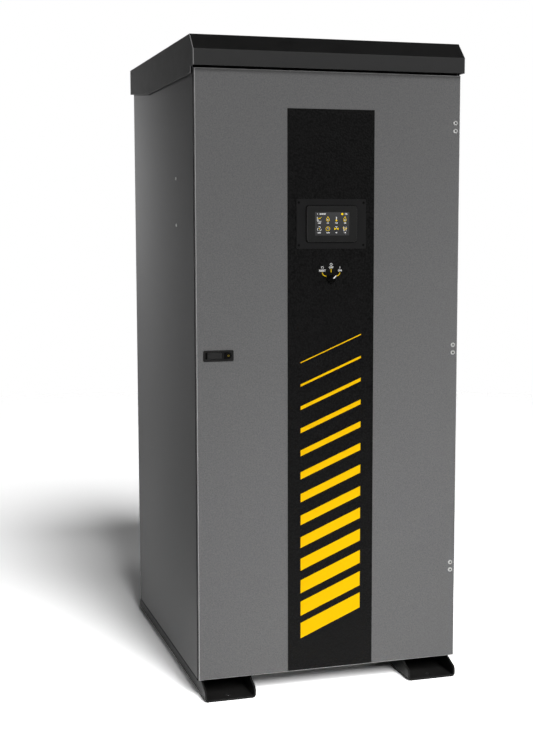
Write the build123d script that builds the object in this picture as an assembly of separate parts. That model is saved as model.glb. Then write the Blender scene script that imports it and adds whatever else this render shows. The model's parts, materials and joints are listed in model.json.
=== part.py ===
from build123d import *
import math
import os

# A floor-standing condensing boiler in a sheet-steel cabinet on two formed skids.
# The origin is on the floor under the middle of the part. +X is to the right of a person who
# faces the door, +Y runs to the back and +Z up. All sizes are in millimetres.

# Cabinet
CABINET_WIDTH = 762.0
CABINET_DEPTH = 850.0
PANEL_SHEET = 2.0
PANEL_EDGE_RADIUS = 1.2
PANEL_CLIP_RUN = 16.0
DECK_THICKNESS = 6.0

# Skids
SKID_HEIGHT = 46.5
SKID_WIDTH = 145.0
SKID_SHEET = 5.0
SKID_BEND = 10.0
SKID_INSET = 9.0
SKID_NOSE_REACH = 31.0
SKID_TAIL_REACH = 62.0
SKID_NOSE_HEIGHT = 27.5
SKID_NOSE_RUN = 50.0
SKID_NOSE_RADIUS = 12.0
ANCHOR_HOLE_RADIUS = 7.0
ANCHOR_HOLE_SETBACK = 28.0

# Lid
LID_SHEET = 2.0
LID_OVERHANG = 6.0
LID_PROUD = 14.0
LID_BACK_REACH = 27.0
LID_GAP = 5.0
LID_EDGE_RADIUS = 1.5
FASCIA_HEIGHT = 42.0
SLOPE_RISE = 43.0
SLOPE_RUN = 42.0
FLAP_LEAD = 1.5
FLAP_DROP = 19.0
FLAP_SLANT_RUN = 286.0
FLAP_SLANT_RISE = 27.0

# Front frame
POST_WIDTH = 40.0
POST_DEPTH = 30.0
POST_WALL = 2.0
HEADER_LAP = 20.0
SILL_HEIGHT = 40.0
GASKET_WIDTH = 12.0
GASKET_INSET = 2.0
GASKET_CLEARANCE = 0.5

# Door
DOOR_HEIGHT = 1660.0
DOOR_DEPTH = 10.0
DOOR_SHEET = 2.0
DOOR_GAP = 11.5
DOOR_EDGE_RADIUS = 3.0
STRIP_WIDTH = 250.0
STRIP_THICKNESS = 1.0
STRIP_TOP_DROP = 100.0

# Hinges
HINGE_LENGTH = 64.0
HINGE_LEAF_WIDTH = 25.0
HINGE_LEAF_SHEET = 2.5
HINGE_CLEARANCE = 0.5
KNUCKLE_LENGTH = 22.0
PIN_RADIUS = 2.5
PIN_CLEARANCE = 0.08
TOP_HINGE_DROP = 141.0
BOTTOM_HINGE_RISE = 267.0
LATCH_RISE = 898.0

# Display on the door
DISPLAY_DROP = 409.0
DISPLAY_PLATE_WIDTH = 200.0
DISPLAY_PLATE_HEIGHT = 135.0
DISPLAY_PLATE_SHEET = 2.0
DISPLAY_PLATE_RADIUS = 3.0
DISPLAY_WIDTH = 145.0
DISPLAY_HEIGHT = 98.0
DISPLAY_BEZEL = 6.0
DISPLAY_CORNER_RADIUS = 9.0
DISPLAY_EDGE_RADIUS = 1.5
DISPLAY_BODY_INSET = 10.0
DISPLAY_BODY_REACH = 34.0
SCREEN_WIDTH = 98.0
SCREEN_HEIGHT = 63.0
SCREEN_SHEET = 1.0
CUTOUT_CLEARANCE = 0.5

# Selector switch on the door
SELECTOR_DROP = 558.0
SELECTOR_RING_RADIUS = 14.0
SELECTOR_RING_HEIGHT = 2.5
SELECTOR_BARREL_RADIUS = 11.0
SELECTOR_BLOCK_WIDTH = 30.0
SELECTOR_BLOCK_REACH = 38.0
KNOB_RADIUS = 12.0
KNOB_BASE_HEIGHT = 5.0
KNOB_GRIP_WIDTH = 8.0
KNOB_GRIP_HEIGHT = 11.0
KNOB_GAP = 0.4
SPINDLE_RADIUS = 4.0
SPINDLE_DEPTH = 8.0
SPINDLE_CLEARANCE = 0.08
SELECTOR_ANGLE = 45.0

# Latch on the door
LATCH_WIDTH = 84.0
LATCH_HEIGHT = 30.0
LATCH_PROUD = 2.0
LATCH_CORNER_RADIUS = 4.0
LATCH_INSET = 18.7
LATCH_RIM = 5.0
LATCH_WALL = 2.0
LEVER_SLOT_WIDTH = 50.0
LEVER_SLOT_HEIGHT = 19.0
FINGER_GAP = 6.5
LEVER_THICKNESS = 6.0
LEVER_SINK = 0.5
LEVER_CLEARANCE = 1.0
LEVER_PIN_RADIUS = 1.5
LEVER_PIN_SEAT = 1.2
LEVER_PIN_CLEARANCE = 0.08
LOCK_RADIUS = 7.0
LOCK_RECESS = 1.2

# Pressure vessel and flue collector
VESSEL_SIDE_CLEARANCE = 99.0
VESSEL_REAR_CLEARANCE = 70.0
VESSEL_WALL = 60.0
TUBE_SHEET_THICKNESS = 12.0
SKIRT_INSET = 50.0
SKIRT_WALL = 6.0
SKIRT_HEIGHT = 50.0
COLLECTOR_INSET = 30.0
COLLECTOR_HEIGHT = 190.0
COLLECTOR_WALL = 4.0
HEAD_THICKNESS = 30.0
HEAD_EDGE_RADIUS = 12.0
SEAT_GAP = 0.3

# Burner, blower and air path
HEADROOM = 210.0
BURNER_PLATE_RADIUS = 180.0
BURNER_PLATE_THICKNESS = 18.0
NECK_RADIUS = 65.0
NECK_HEIGHT = 70.0
BLOWER_RADIUS = 120.0
BLOWER_WIDTH = 120.0
BLOWER_CLEARANCE = 10.0
MOTOR_RADIUS = 62.0
MOTOR_LENGTH = 95.0
MOTOR_EDGE_RADIUS = 8.0
MIXER_LENGTH = 90.0
MIXER_HEIGHT = 130.0
CASTING_EDGE_RADIUS = 10.0
FILTER_HEIGHT = 180.0
FILTER_SIDE_CLEARANCE = 30.0

# Gas train
GAS_VALVE_WIDTH = 80.0
GAS_VALVE_DEPTH = 110.0
GAS_VALVE_HEIGHT = 100.0
GAS_VALVE_EDGE_RADIUS = 5.0
GAS_PIPE_RADIUS = 24.15
GAS_PIPE_WALL = 3.7

# Connections at the back
CONNECTION_REACH = 60.0
PANEL_HOLE_CLEARANCE = 3.0
DUCT_RADIUS = 76.0
DUCT_WALL = 2.0
WATER_PIPE_RADIUS = 44.45
WATER_PIPE_WALL = 5.5
SUPPLY_DROP = 75.0
RETURN_RISE = 140.0
FLANGE_RADIUS = 95.0
FLANGE_THICKNESS = 22.0
FLANGE_HOLE_CIRCLE_RADIUS = 76.2
FLANGE_HOLE_RADIUS = 9.5
FLANGE_HOLE_COUNT = 4
DRAIN_RADIUS = 13.35
DRAIN_WALL = 2.8
DRAIN_RISE = 26.0
DRAIN_OFFSET = 150.0

# Electrical box on the left side panel
ELECTRICAL_WIDTH = 100.0
ELECTRICAL_DEPTH = 240.0
ELECTRICAL_HEIGHT = 300.0
ELECTRICAL_SETBACK = 230.0
ELECTRICAL_RISE = 1314.0
ELECTRICAL_EDGE_RADIUS = 4.0

# How far a cut runs past the face that it opens
OVERRUN = 1.0

# Places worked out from the sizes above
half_width = CABINET_WIDTH / 2
panel_inside = half_width - PANEL_SHEET
skid_length = SKID_NOSE_REACH + CABINET_DEPTH + SKID_TAIL_REACH
door_front = SKID_NOSE_REACH - skid_length / 2
door_back = door_front + DOOR_DEPTH
frame_front = door_back + DOOR_GAP
cabinet_back = door_front + CABINET_DEPTH
back_inside = cabinet_back - PANEL_SHEET
deck_top = SKID_HEIGHT + DECK_THICKNESS
door_bottom = deck_top
door_top = door_bottom + DOOR_HEIGHT
fascia_bottom = door_top + LID_GAP
knee = fascia_bottom + FASCIA_HEIGHT
lid_top = knee + SLOPE_RISE
lid_under = lid_top - LID_SHEET
doorway_half = panel_inside - POST_WIDTH
header_bottom = door_top - HEADER_LAP
sill_top = deck_top + SILL_HEIGHT
frame_back = frame_front + POST_DEPTH

strip_front = door_front - STRIP_THICKNESS
plate_front = strip_front - DISPLAY_PLATE_SHEET
bezel_front = plate_front - DISPLAY_BEZEL
display_height = door_top - DISPLAY_DROP
body_half_width = DISPLAY_WIDTH / 2 - DISPLAY_BODY_INSET
body_half_height = DISPLAY_HEIGHT / 2 - DISPLAY_BODY_INSET
selector_height = door_top - SELECTOR_DROP
ring_front = strip_front - SELECTOR_RING_HEIGHT

hinge_x = half_width
hinge_y = (door_back + frame_front) / 2
barrel_radius = DOOR_GAP / 2 - HINGE_CLEARANCE
hinge_heights = {
    "bottom": door_bottom + BOTTOM_HINGE_RISE,
    "middle": door_bottom + LATCH_RISE,
    "top": door_top - TOP_HINGE_DROP,
}

latch_left = LATCH_INSET - half_width
latch_right = latch_left + LATCH_WIDTH
latch_height = door_bottom + LATCH_RISE
latch_front = door_front - LATCH_PROUD
slot_left = latch_left + LATCH_RIM
slot_right = slot_left + LEVER_SLOT_WIDTH
lever_left = slot_left + FINGER_GAP
lever_front = latch_front + LEVER_SINK
lever_back = lever_front + LEVER_THICKNESS
lever_pivot_x = slot_right - LEVER_CLEARANCE - LEVER_THICKNESS / 2
lever_pivot_y = (lever_front + lever_back) / 2
lock_x = latch_right - LATCH_RIM - LEVER_SLOT_HEIGHT / 2

vessel_radius = panel_inside - VESSEL_SIDE_CLEARANCE
vessel_y = back_inside - VESSEL_REAR_CLEARANCE - vessel_radius
skirt_radius = vessel_radius - SKIRT_INSET
collector_radius = vessel_radius - COLLECTOR_INSET
skirt_top = deck_top + SKIRT_HEIGHT
collector_bottom = skirt_top + COLLECTOR_WALL
shell_bottom = collector_bottom + COLLECTOR_HEIGHT
blower_top = lid_under - HEADROOM
blower_height = blower_top - BLOWER_RADIUS
neck_top = blower_height - BLOWER_RADIUS - BLOWER_CLEARANCE
plate_top = neck_top - NECK_HEIGHT
head_top = plate_top - BURNER_PLATE_THICKNESS
shell_top = head_top - HEAD_THICKNESS
blower_y = vessel_y - BLOWER_RADIUS / 2
mixer_right = BLOWER_WIDTH / 2 + MIXER_LENGTH
mixer_bottom = blower_height - MIXER_HEIGHT / 2
filter_right = panel_inside - FILTER_SIDE_CLEARANCE
filter_back = blower_y + FILTER_HEIGHT / 2
duct_x = (mixer_right + filter_right) / 2
gas_x = BLOWER_WIDTH / 2 + MIXER_LENGTH / 2
gas_valve_back = blower_y + GAS_VALVE_DEPTH / 2
gas_height = mixer_bottom - GAS_VALVE_HEIGHT / 2
connection_end = cabinet_back + CONNECTION_REACH
duct_bore = DUCT_RADIUS - DUCT_WALL
water_bore = WATER_PIPE_RADIUS - WATER_PIPE_WALL
drain_bore = DRAIN_RADIUS - DRAIN_WALL
flue_height = collector_bottom + COLLECTOR_HEIGHT / 2
supply_height = shell_top - SUPPLY_DROP
return_height = shell_bottom + RETURN_RISE
drain_height = collector_bottom + DRAIN_RISE
electrical_y = door_front + ELECTRICAL_SETBACK
electrical_height = door_bottom + ELECTRICAL_RISE


def block(x_low, x_high, y_low, y_high, z_low, z_high):
    middle = Pos((x_low + x_high) / 2, (y_low + y_high) / 2, (z_low + z_high) / 2)
    return middle * Box(x_high - x_low, y_high - y_low, z_high - z_low)


def rod_x(y, z, radius, x_low, x_high):
    return Pos((x_low + x_high) / 2, y, z) * Rot(0, 90, 0) * Cylinder(radius, x_high - x_low)


def rod_y(x, z, radius, y_low, y_high):
    return Pos(x, (y_low + y_high) / 2, z) * Rot(90, 0, 0) * Cylinder(radius, y_high - y_low)


def rod_z(x, y, radius, z_low, z_high):
    return Pos(x, y, (z_low + z_high) / 2) * Cylinder(radius, z_high - z_low)


def side_prism(outline, x_low, x_high):
    """A solid with an outline of (y, z) points, from one X to another."""
    return Pos(x_low, 0, 0) * extrude(Plane.YZ * outline, x_high - x_low)


def front_plate(x, z, width, height, radius, y_low, y_high):
    """An upright plate with rounded corners, seen from the front."""
    face = Plane.XZ * RectangleRounded(width, height, radius)
    return Pos(x, y_high, z) * extrude(face, y_high - y_low)


def skid(side):
    middle = side * (half_width - SKID_INSET - SKID_WIDTH / 2)
    low = middle - SKID_WIDTH / 2
    high = middle + SKID_WIDTH / 2
    end = skid_length / 2
    outside = block(low, high, -end, end, 0, SKID_HEIGHT)
    outside = fillet(outside.edges().filter_by(Axis.Y).group_by(Axis.Z)[0], SKID_BEND)
    hollow = block(
        low + SKID_SHEET,
        high - SKID_SHEET,
        -end - OVERRUN,
        end + OVERRUN,
        SKID_SHEET,
        SKID_HEIGHT + OVERRUN,
    )
    hollow = fillet(hollow.edges().filter_by(Axis.Y).group_by(Axis.Z)[0], SKID_BEND - SKID_SHEET)
    outline = make_face(
        Polyline(
            (-end, 0),
            (end, 0),
            (end, SKID_NOSE_HEIGHT),
            (end - SKID_NOSE_RUN, SKID_HEIGHT),
            (SKID_NOSE_RUN - end, SKID_HEIGHT),
            (-end, SKID_NOSE_HEIGHT),
            close=True,
        )
    )
    noses = outline.vertices().filter_by_position(Axis.Y, SKID_NOSE_HEIGHT, SKID_NOSE_HEIGHT)
    outline = fillet(noses, SKID_NOSE_RADIUS)
    shape = (outside - hollow) & side_prism(outline, low, high)
    for hole_y in (ANCHOR_HOLE_SETBACK - end, end - ANCHOR_HOLE_SETBACK):
        shape -= rod_z(middle, hole_y, ANCHOR_HOLE_RADIUS, -OVERRUN, SKID_SHEET + OVERRUN)
    return shape


def base_deck():
    return block(-half_width, half_width, frame_front, cabinet_back, SKID_HEIGHT, deck_top)


def side_panel(side):
    outline = make_face(
        Polyline(
            (frame_front, deck_top),
            (cabinet_back, deck_top),
            (cabinet_back, lid_under),
            (frame_front + PANEL_CLIP_RUN, lid_under),
            (frame_front, knee),
            close=True,
        )
    )
    low, high = sorted((side * panel_inside, side * half_width))
    panel = side_prism(outline, low, high)
    outer_face = panel.faces().sort_by(Axis.X)[0 if side < 0 else -1]
    return fillet(outer_face.edges().filter_by(Axis.Z), PANEL_EDGE_RADIUS)


def back_panel():
    panel = block(-panel_inside, panel_inside, back_inside, cabinet_back, deck_top, lid_under)
    passages = (
        (0, flue_height, DUCT_RADIUS),
        (0, return_height, WATER_PIPE_RADIUS),
        (0, supply_height, WATER_PIPE_RADIUS),
        (duct_x, blower_height, DUCT_RADIUS),
        (gas_x, gas_height, GAS_PIPE_RADIUS),
        (DRAIN_OFFSET, drain_height, DRAIN_RADIUS),
    )
    for x, z, radius in passages:
        hole = radius + PANEL_HOLE_CLEARANCE
        panel -= rod_y(x, z, hole, back_inside - OVERRUN, cabinet_back + OVERRUN)
    return panel


def lid():
    half = half_width + LID_OVERHANG
    front = door_front - LID_PROUD
    ridge = front + SLOPE_RUN
    back = cabinet_back + LID_BACK_REACH
    flap_front = frame_front - FLAP_LEAD
    flap_bottom = fascia_bottom - FLAP_DROP
    flap_back = flap_bottom + FLAP_SLANT_RISE
    outline = make_face(
        Polyline(
            (front, fascia_bottom),
            (front, knee),
            (ridge, lid_top),
            (back, lid_top),
            (back, flap_back),
            (back - FLAP_SLANT_RUN, flap_bottom),
            (flap_front, flap_bottom),
            (flap_front, fascia_bottom),
            close=True,
        )
    )
    outside = side_prism(outline, -half, half)
    rim = max(fascia_bottom, flap_back) + OVERRUN
    bends = [edge for edge in outside.edges() if edge.center().Z > rim]
    outside = fillet(bends, LID_EDGE_RADIUS)
    slope = math.atan2(SLOPE_RISE, SLOPE_RUN)
    knee_setback = LID_SHEET * math.tan((math.pi / 2 - slope) / 2)
    ridge_setback = LID_SHEET * math.tan(slope / 2)
    under = flap_bottom - OVERRUN
    inside = make_face(
        Polyline(
            (front + LID_SHEET, under),
            (front + LID_SHEET, knee - knee_setback),
            (ridge + ridge_setback, lid_under),
            (back - LID_SHEET, lid_under),
            (back - LID_SHEET, under),
            close=True,
        )
    )
    return outside - side_prism(inside, LID_SHEET - half, half - LID_SHEET)


def hollow_bar(x_low, x_high, z_low, z_high, along):
    """A rectangular tube of the front frame, open at both ends along one axis."""
    x_wall, z_wall = (POST_WALL, -OVERRUN) if along == Axis.Z else (-OVERRUN, POST_WALL)
    bar = block(x_low, x_high, frame_front, frame_back, z_low, z_high)
    return bar - block(
        x_low + x_wall,
        x_high - x_wall,
        frame_front + POST_WALL,
        frame_back - POST_WALL,
        z_low + z_wall,
        z_high - z_wall,
    )


def front_post(side):
    low, high = sorted((side * doorway_half, side * panel_inside))
    return hollow_bar(low, high, deck_top, knee, Axis.Z)


def front_header():
    return hollow_bar(-doorway_half, doorway_half, header_bottom, knee, Axis.X)


def front_sill():
    return hollow_bar(-doorway_half, doorway_half, deck_top, sill_top, Axis.X)


def door_gasket():
    inner = doorway_half + GASKET_INSET
    outer = inner + GASKET_WIDTH
    low = sill_top - GASKET_INSET
    high = header_bottom + GASKET_INSET
    front = door_back + GASKET_CLEARANCE
    ring = block(-outer, outer, front, frame_front, low - GASKET_WIDTH, high + GASKET_WIDTH)
    return ring - block(-inner, inner, front - OVERRUN, frame_front + OVERRUN, low, high)


def latch_cup(clearance):
    """The part of the latch that goes through the door, grown by a clearance."""
    half_height = LEVER_SLOT_HEIGHT / 2 + LATCH_WALL + clearance
    return block(
        slot_left - LATCH_WALL - clearance,
        latch_right - LATCH_RIM + LATCH_WALL + clearance,
        door_front,
        door_back,
        latch_height - half_height,
        latch_height + half_height,
    )


def display_passage(y_low, y_high, clearance):
    half_high = body_half_height + clearance
    half_wide = body_half_width + clearance
    return block(
        -half_wide, half_wide, y_low, y_high, display_height - half_high, display_height + half_high
    )


def selector_passage(y_low, y_high):
    return rod_y(0, selector_height, SELECTOR_BARREL_RADIUS + CUTOUT_CLEARANCE, y_low, y_high)


def cut_for_controls(shape):
    front = strip_front - OVERRUN
    back = door_back + OVERRUN
    shape -= display_passage(front, back, CUTOUT_CLEARANCE)
    shape -= selector_passage(front, back)
    return shape - latch_cup(CUTOUT_CLEARANCE)


def door_panel():
    pan = block(-half_width, half_width, door_front, door_back, door_bottom, door_top)
    pan = fillet(pan.faces().sort_by(Axis.Y)[0].edges(), DOOR_EDGE_RADIUS)
    pan -= block(
        DOOR_SHEET - half_width,
        half_width - DOOR_SHEET,
        door_front + DOOR_SHEET,
        door_back + OVERRUN,
        door_bottom + DOOR_SHEET,
        door_top - DOOR_SHEET,
    )
    return cut_for_controls(pan)


def door_liner():
    liner = block(
        DOOR_SHEET - half_width,
        half_width - DOOR_SHEET,
        door_front + DOOR_SHEET,
        door_back,
        door_bottom + DOOR_SHEET,
        door_top - DOOR_SHEET,
    )
    return cut_for_controls(liner)


def door_strip():
    half = STRIP_WIDTH / 2
    low = door_bottom + DOOR_EDGE_RADIUS
    strip = block(-half, half, strip_front, door_front, low, door_top - STRIP_TOP_DROP)
    return cut_for_controls(strip)


def hinge_knuckles(middle):
    """The heights at which the fixed, the moving and again the fixed knuckle start and end."""
    low = middle - HINGE_LENGTH / 2
    high = middle + HINGE_LENGTH / 2
    moving_low = middle - KNUCKLE_LENGTH / 2
    moving_high = middle + KNUCKLE_LENGTH / 2
    fixed_low = (low, moving_low - HINGE_CLEARANCE)
    fixed_high = (moving_high + HINGE_CLEARANCE, high)
    return fixed_low, (moving_low, moving_high), fixed_high


def hinge_leaf(middle, y_low, y_high, knuckles):
    """A flat leaf with a tab and a round knuckle at each of the given heights."""
    leaf_right = hinge_x - barrel_radius - HINGE_CLEARANCE
    leaf = block(
        hinge_x - HINGE_LEAF_WIDTH,
        leaf_right,
        y_low,
        y_high,
        middle - HINGE_LENGTH / 2,
        middle + HINGE_LENGTH / 2,
    )
    for low, high in knuckles:
        leaf += block(leaf_right, hinge_x, y_low, y_high, low, high)
        leaf += rod_z(hinge_x, hinge_y, barrel_radius, low, high)
    return leaf


def fixed_hinge(middle):
    fixed_low, moving, fixed_high = hinge_knuckles(middle)
    leaf = hinge_leaf(middle, frame_front - HINGE_LEAF_SHEET, frame_front, (fixed_low, fixed_high))
    return leaf + rod_z(hinge_x, hinge_y, PIN_RADIUS, fixed_low[0], fixed_high[1])


def door_hinge(middle):
    fixed_low, moving, fixed_high = hinge_knuckles(middle)
    leaf = hinge_leaf(middle, door_back, door_back + HINGE_LEAF_SHEET, (moving,))
    return leaf - rod_z(
        hinge_x, hinge_y, PIN_RADIUS + PIN_CLEARANCE, moving[0] - OVERRUN, moving[1] + OVERRUN
    )


def display_plate():
    plate = front_plate(
        0,
        display_height,
        DISPLAY_PLATE_WIDTH,
        DISPLAY_PLATE_HEIGHT,
        DISPLAY_PLATE_RADIUS,
        plate_front,
        strip_front,
    )
    return plate - display_passage(plate_front - OVERRUN, strip_front + OVERRUN, CUTOUT_CLEARANCE)


def display_housing():
    bezel = front_plate(
        0,
        display_height,
        DISPLAY_WIDTH,
        DISPLAY_HEIGHT,
        DISPLAY_CORNER_RADIUS,
        bezel_front,
        plate_front,
    )
    bezel = fillet(bezel.faces().sort_by(Axis.Y)[0].edges(), DISPLAY_EDGE_RADIUS)
    bezel -= block(
        -SCREEN_WIDTH / 2,
        SCREEN_WIDTH / 2,
        bezel_front - OVERRUN,
        bezel_front + SCREEN_SHEET,
        display_height - SCREEN_HEIGHT / 2,
        display_height + SCREEN_HEIGHT / 2,
    )
    return bezel + display_passage(plate_front, door_back + DISPLAY_BODY_REACH, 0)


def display_screen():
    return block(
        -SCREEN_WIDTH / 2,
        SCREEN_WIDTH / 2,
        bezel_front,
        bezel_front + SCREEN_SHEET,
        display_height - SCREEN_HEIGHT / 2,
        display_height + SCREEN_HEIGHT / 2,
    )


def selector_body():
    half = SELECTOR_BLOCK_WIDTH / 2
    body = rod_y(0, selector_height, SELECTOR_RING_RADIUS, ring_front, strip_front)
    body += rod_y(0, selector_height, SELECTOR_BARREL_RADIUS, strip_front, door_back)
    body += block(
        -half,
        half,
        door_back,
        door_back + SELECTOR_BLOCK_REACH,
        selector_height - half,
        selector_height + half,
    )
    bore = SPINDLE_RADIUS + SPINDLE_CLEARANCE
    bore_end = ring_front + SPINDLE_DEPTH + SPINDLE_CLEARANCE
    return body - rod_y(0, selector_height, bore, ring_front - OVERRUN, bore_end)


def selector_knob():
    back = ring_front - KNOB_GAP
    base_front = back - KNOB_BASE_HEIGHT
    half = KNOB_GRIP_WIDTH / 2
    grip_front = base_front - KNOB_GRIP_HEIGHT
    grip = block(-half, half, grip_front, base_front, -KNOB_RADIUS, KNOB_RADIUS)
    grip &= rod_y(0, 0, KNOB_RADIUS, grip_front, base_front)
    knob = rod_y(0, selector_height, KNOB_RADIUS, base_front, back)
    knob += Pos(0, 0, selector_height) * Rot(0, SELECTOR_ANGLE, 0) * grip
    return knob + rod_y(0, selector_height, SPINDLE_RADIUS, back, ring_front + SPINDLE_DEPTH)


def lever_pin(radius, seat):
    half = LEVER_SLOT_HEIGHT / 2 + seat
    return rod_z(lever_pivot_x, lever_pivot_y, radius, latch_height - half, latch_height + half)


def latch_body():
    body = front_plate(
        (latch_left + latch_right) / 2,
        latch_height,
        LATCH_WIDTH,
        LATCH_HEIGHT,
        LATCH_CORNER_RADIUS,
        latch_front,
        door_front,
    )
    body += latch_cup(0)
    half = LEVER_SLOT_HEIGHT / 2
    slot_low = latch_height - half
    slot_high = latch_height + half
    slot_back = door_back - LATCH_WALL
    body -= block(slot_left, slot_right, latch_front - OVERRUN, slot_back, slot_low, slot_high)
    recess_left = slot_right + LATCH_WALL
    recess_back = latch_front + LOCK_RECESS
    body -= block(recess_left, lock_x, latch_front - OVERRUN, recess_back, slot_low, slot_high)
    body -= rod_y(lock_x, latch_height, half, latch_front - OVERRUN, recess_back)
    body += rod_y(lock_x, latch_height, LOCK_RADIUS, latch_front, recess_back)
    return body - lever_pin(LEVER_PIN_RADIUS + LEVER_PIN_CLEARANCE, LEVER_PIN_SEAT)


def latch_lever():
    half = LEVER_SLOT_HEIGHT / 2 - LEVER_CLEARANCE
    low = latch_height - half
    high = latch_height + half
    lever = block(lever_left, lever_pivot_x, lever_front, lever_back, low, high)
    lever += rod_z(lever_pivot_x, lever_pivot_y, LEVER_THICKNESS / 2, low, high)
    return lever + lever_pin(LEVER_PIN_RADIUS, LEVER_PIN_SEAT - LEVER_PIN_CLEARANCE)


def vessel_drum(radius, wall, z_low, z_high):
    shell = rod_z(0, vessel_y, radius, z_low, z_high)
    return shell - rod_z(0, vessel_y, radius - wall, z_low - OVERRUN, z_high + OVERRUN)


def vessel_skirt():
    """A ring that stands on the deck, closed by the plate that is the collector's floor."""
    ring = vessel_drum(skirt_radius, SKIRT_WALL, deck_top, skirt_top)
    return ring + rod_z(0, vessel_y, collector_radius, skirt_top, collector_bottom)


def flue_collector():
    drum = vessel_drum(collector_radius, COLLECTOR_WALL, collector_bottom, shell_bottom)
    drum -= rod_y(0, flue_height, duct_bore, vessel_y, back_inside)
    return drum - rod_y(DRAIN_OFFSET, drain_height, drain_bore, vessel_y, back_inside)


def vessel_shell():
    """The insulated barrel with the tube sheet that closes its lower end."""
    barrel = rod_z(0, vessel_y, vessel_radius, shell_bottom, shell_top)
    chamber_bottom = shell_bottom + TUBE_SHEET_THICKNESS
    chamber_radius = vessel_radius - VESSEL_WALL
    barrel -= rod_z(0, vessel_y, chamber_radius, chamber_bottom, shell_top + OVERRUN)
    for height in (return_height, supply_height):
        barrel -= rod_y(0, height, water_bore, vessel_y, back_inside)
    return barrel


def vessel_top_head():
    head = rod_z(0, vessel_y, vessel_radius, shell_top, head_top)
    return fillet(head.edges().group_by(Axis.Z)[-1], HEAD_EDGE_RADIUS)


def burner_plate():
    plate = rod_z(0, vessel_y, BURNER_PLATE_RADIUS, head_top, plate_top)
    return plate + rod_z(0, vessel_y, NECK_RADIUS, plate_top, neck_top)


def blower_housing():
    half = BLOWER_WIDTH / 2
    drum = rod_x(blower_y, blower_height, BLOWER_RADIUS, -half, half)
    outlet_front = blower_y
    outlet_back = blower_y + BLOWER_RADIUS
    return drum + block(-half, half, outlet_front, outlet_back, neck_top, blower_height)


def blower_motor():
    right = -BLOWER_WIDTH / 2
    motor = rod_x(blower_y, blower_height, MOTOR_RADIUS, right - MOTOR_LENGTH, right)
    return fillet(motor.edges().group_by(Axis.X)[0], MOTOR_EDGE_RADIUS)


def air_mixer():
    half = MIXER_HEIGHT / 2
    mixer = block(
        BLOWER_WIDTH / 2,
        mixer_right,
        blower_y - half,
        blower_y + half,
        mixer_bottom,
        blower_height + half,
    )
    return fillet(mixer.edges().filter_by(Axis.X), CASTING_EDGE_RADIUS)


def gas_valve():
    half = GAS_VALVE_WIDTH / 2
    valve = block(
        gas_x - half,
        gas_x + half,
        blower_y - GAS_VALVE_DEPTH / 2,
        gas_valve_back,
        mixer_bottom - GAS_VALVE_HEIGHT,
        mixer_bottom,
    )
    return fillet(valve.edges().filter_by(Axis.Z), GAS_VALVE_EDGE_RADIUS)


def air_filter_box():
    half = FILTER_HEIGHT / 2
    box = block(
        mixer_right,
        filter_right,
        blower_y - half,
        filter_back,
        blower_height - half,
        blower_height + half,
    )
    return fillet(box.edges().filter_by(Axis.Y), CASTING_EDGE_RADIUS)


def pipe_y(x, z, radius, wall, y_low, y_high):
    outside = rod_y(x, z, radius, y_low, y_high)
    return outside - rod_y(x, z, radius - wall, y_low - OVERRUN, y_high + OVERRUN)


def seated_on_drum(pipe, drum_radius):
    """Ends a pipe just short of the upright drum that it comes out of."""
    return pipe - rod_z(0, vessel_y, drum_radius + SEAT_GAP, 0, lid_top)


def water_nozzle(height):
    nozzle = rod_y(0, height, WATER_PIPE_RADIUS, vessel_y, connection_end)
    nozzle += rod_y(0, height, FLANGE_RADIUS, connection_end - FLANGE_THICKNESS, connection_end)
    nozzle -= rod_y(0, height, water_bore, vessel_y - OVERRUN, connection_end + OVERRUN)
    for number in range(FLANGE_HOLE_COUNT):
        angle = (number + 1 / 2) * 2 * math.pi / FLANGE_HOLE_COUNT
        nozzle -= rod_y(
            FLANGE_HOLE_CIRCLE_RADIUS * math.cos(angle),
            height + FLANGE_HOLE_CIRCLE_RADIUS * math.sin(angle),
            FLANGE_HOLE_RADIUS,
            connection_end - FLANGE_THICKNESS - OVERRUN,
            connection_end + OVERRUN,
        )
    return seated_on_drum(nozzle, vessel_radius)


def flue_outlet():
    pipe = pipe_y(0, flue_height, DUCT_RADIUS, DUCT_WALL, vessel_y, connection_end)
    return seated_on_drum(pipe, collector_radius)


def condensate_drain():
    pipe = pipe_y(DRAIN_OFFSET, drain_height, DRAIN_RADIUS, DRAIN_WALL, vessel_y, connection_end)
    return seated_on_drum(pipe, collector_radius)


def electrical_box():
    half_depth = ELECTRICAL_DEPTH / 2
    half_height = ELECTRICAL_HEIGHT / 2
    box = block(
        -panel_inside,
        ELECTRICAL_WIDTH - panel_inside,
        electrical_y - half_depth,
        electrical_y + half_depth,
        electrical_height - half_height,
        electrical_height + half_height,
    )
    return fillet(box.faces().sort_by(Axis.X)[-1].edges(), ELECTRICAL_EDGE_RADIUS)


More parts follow.
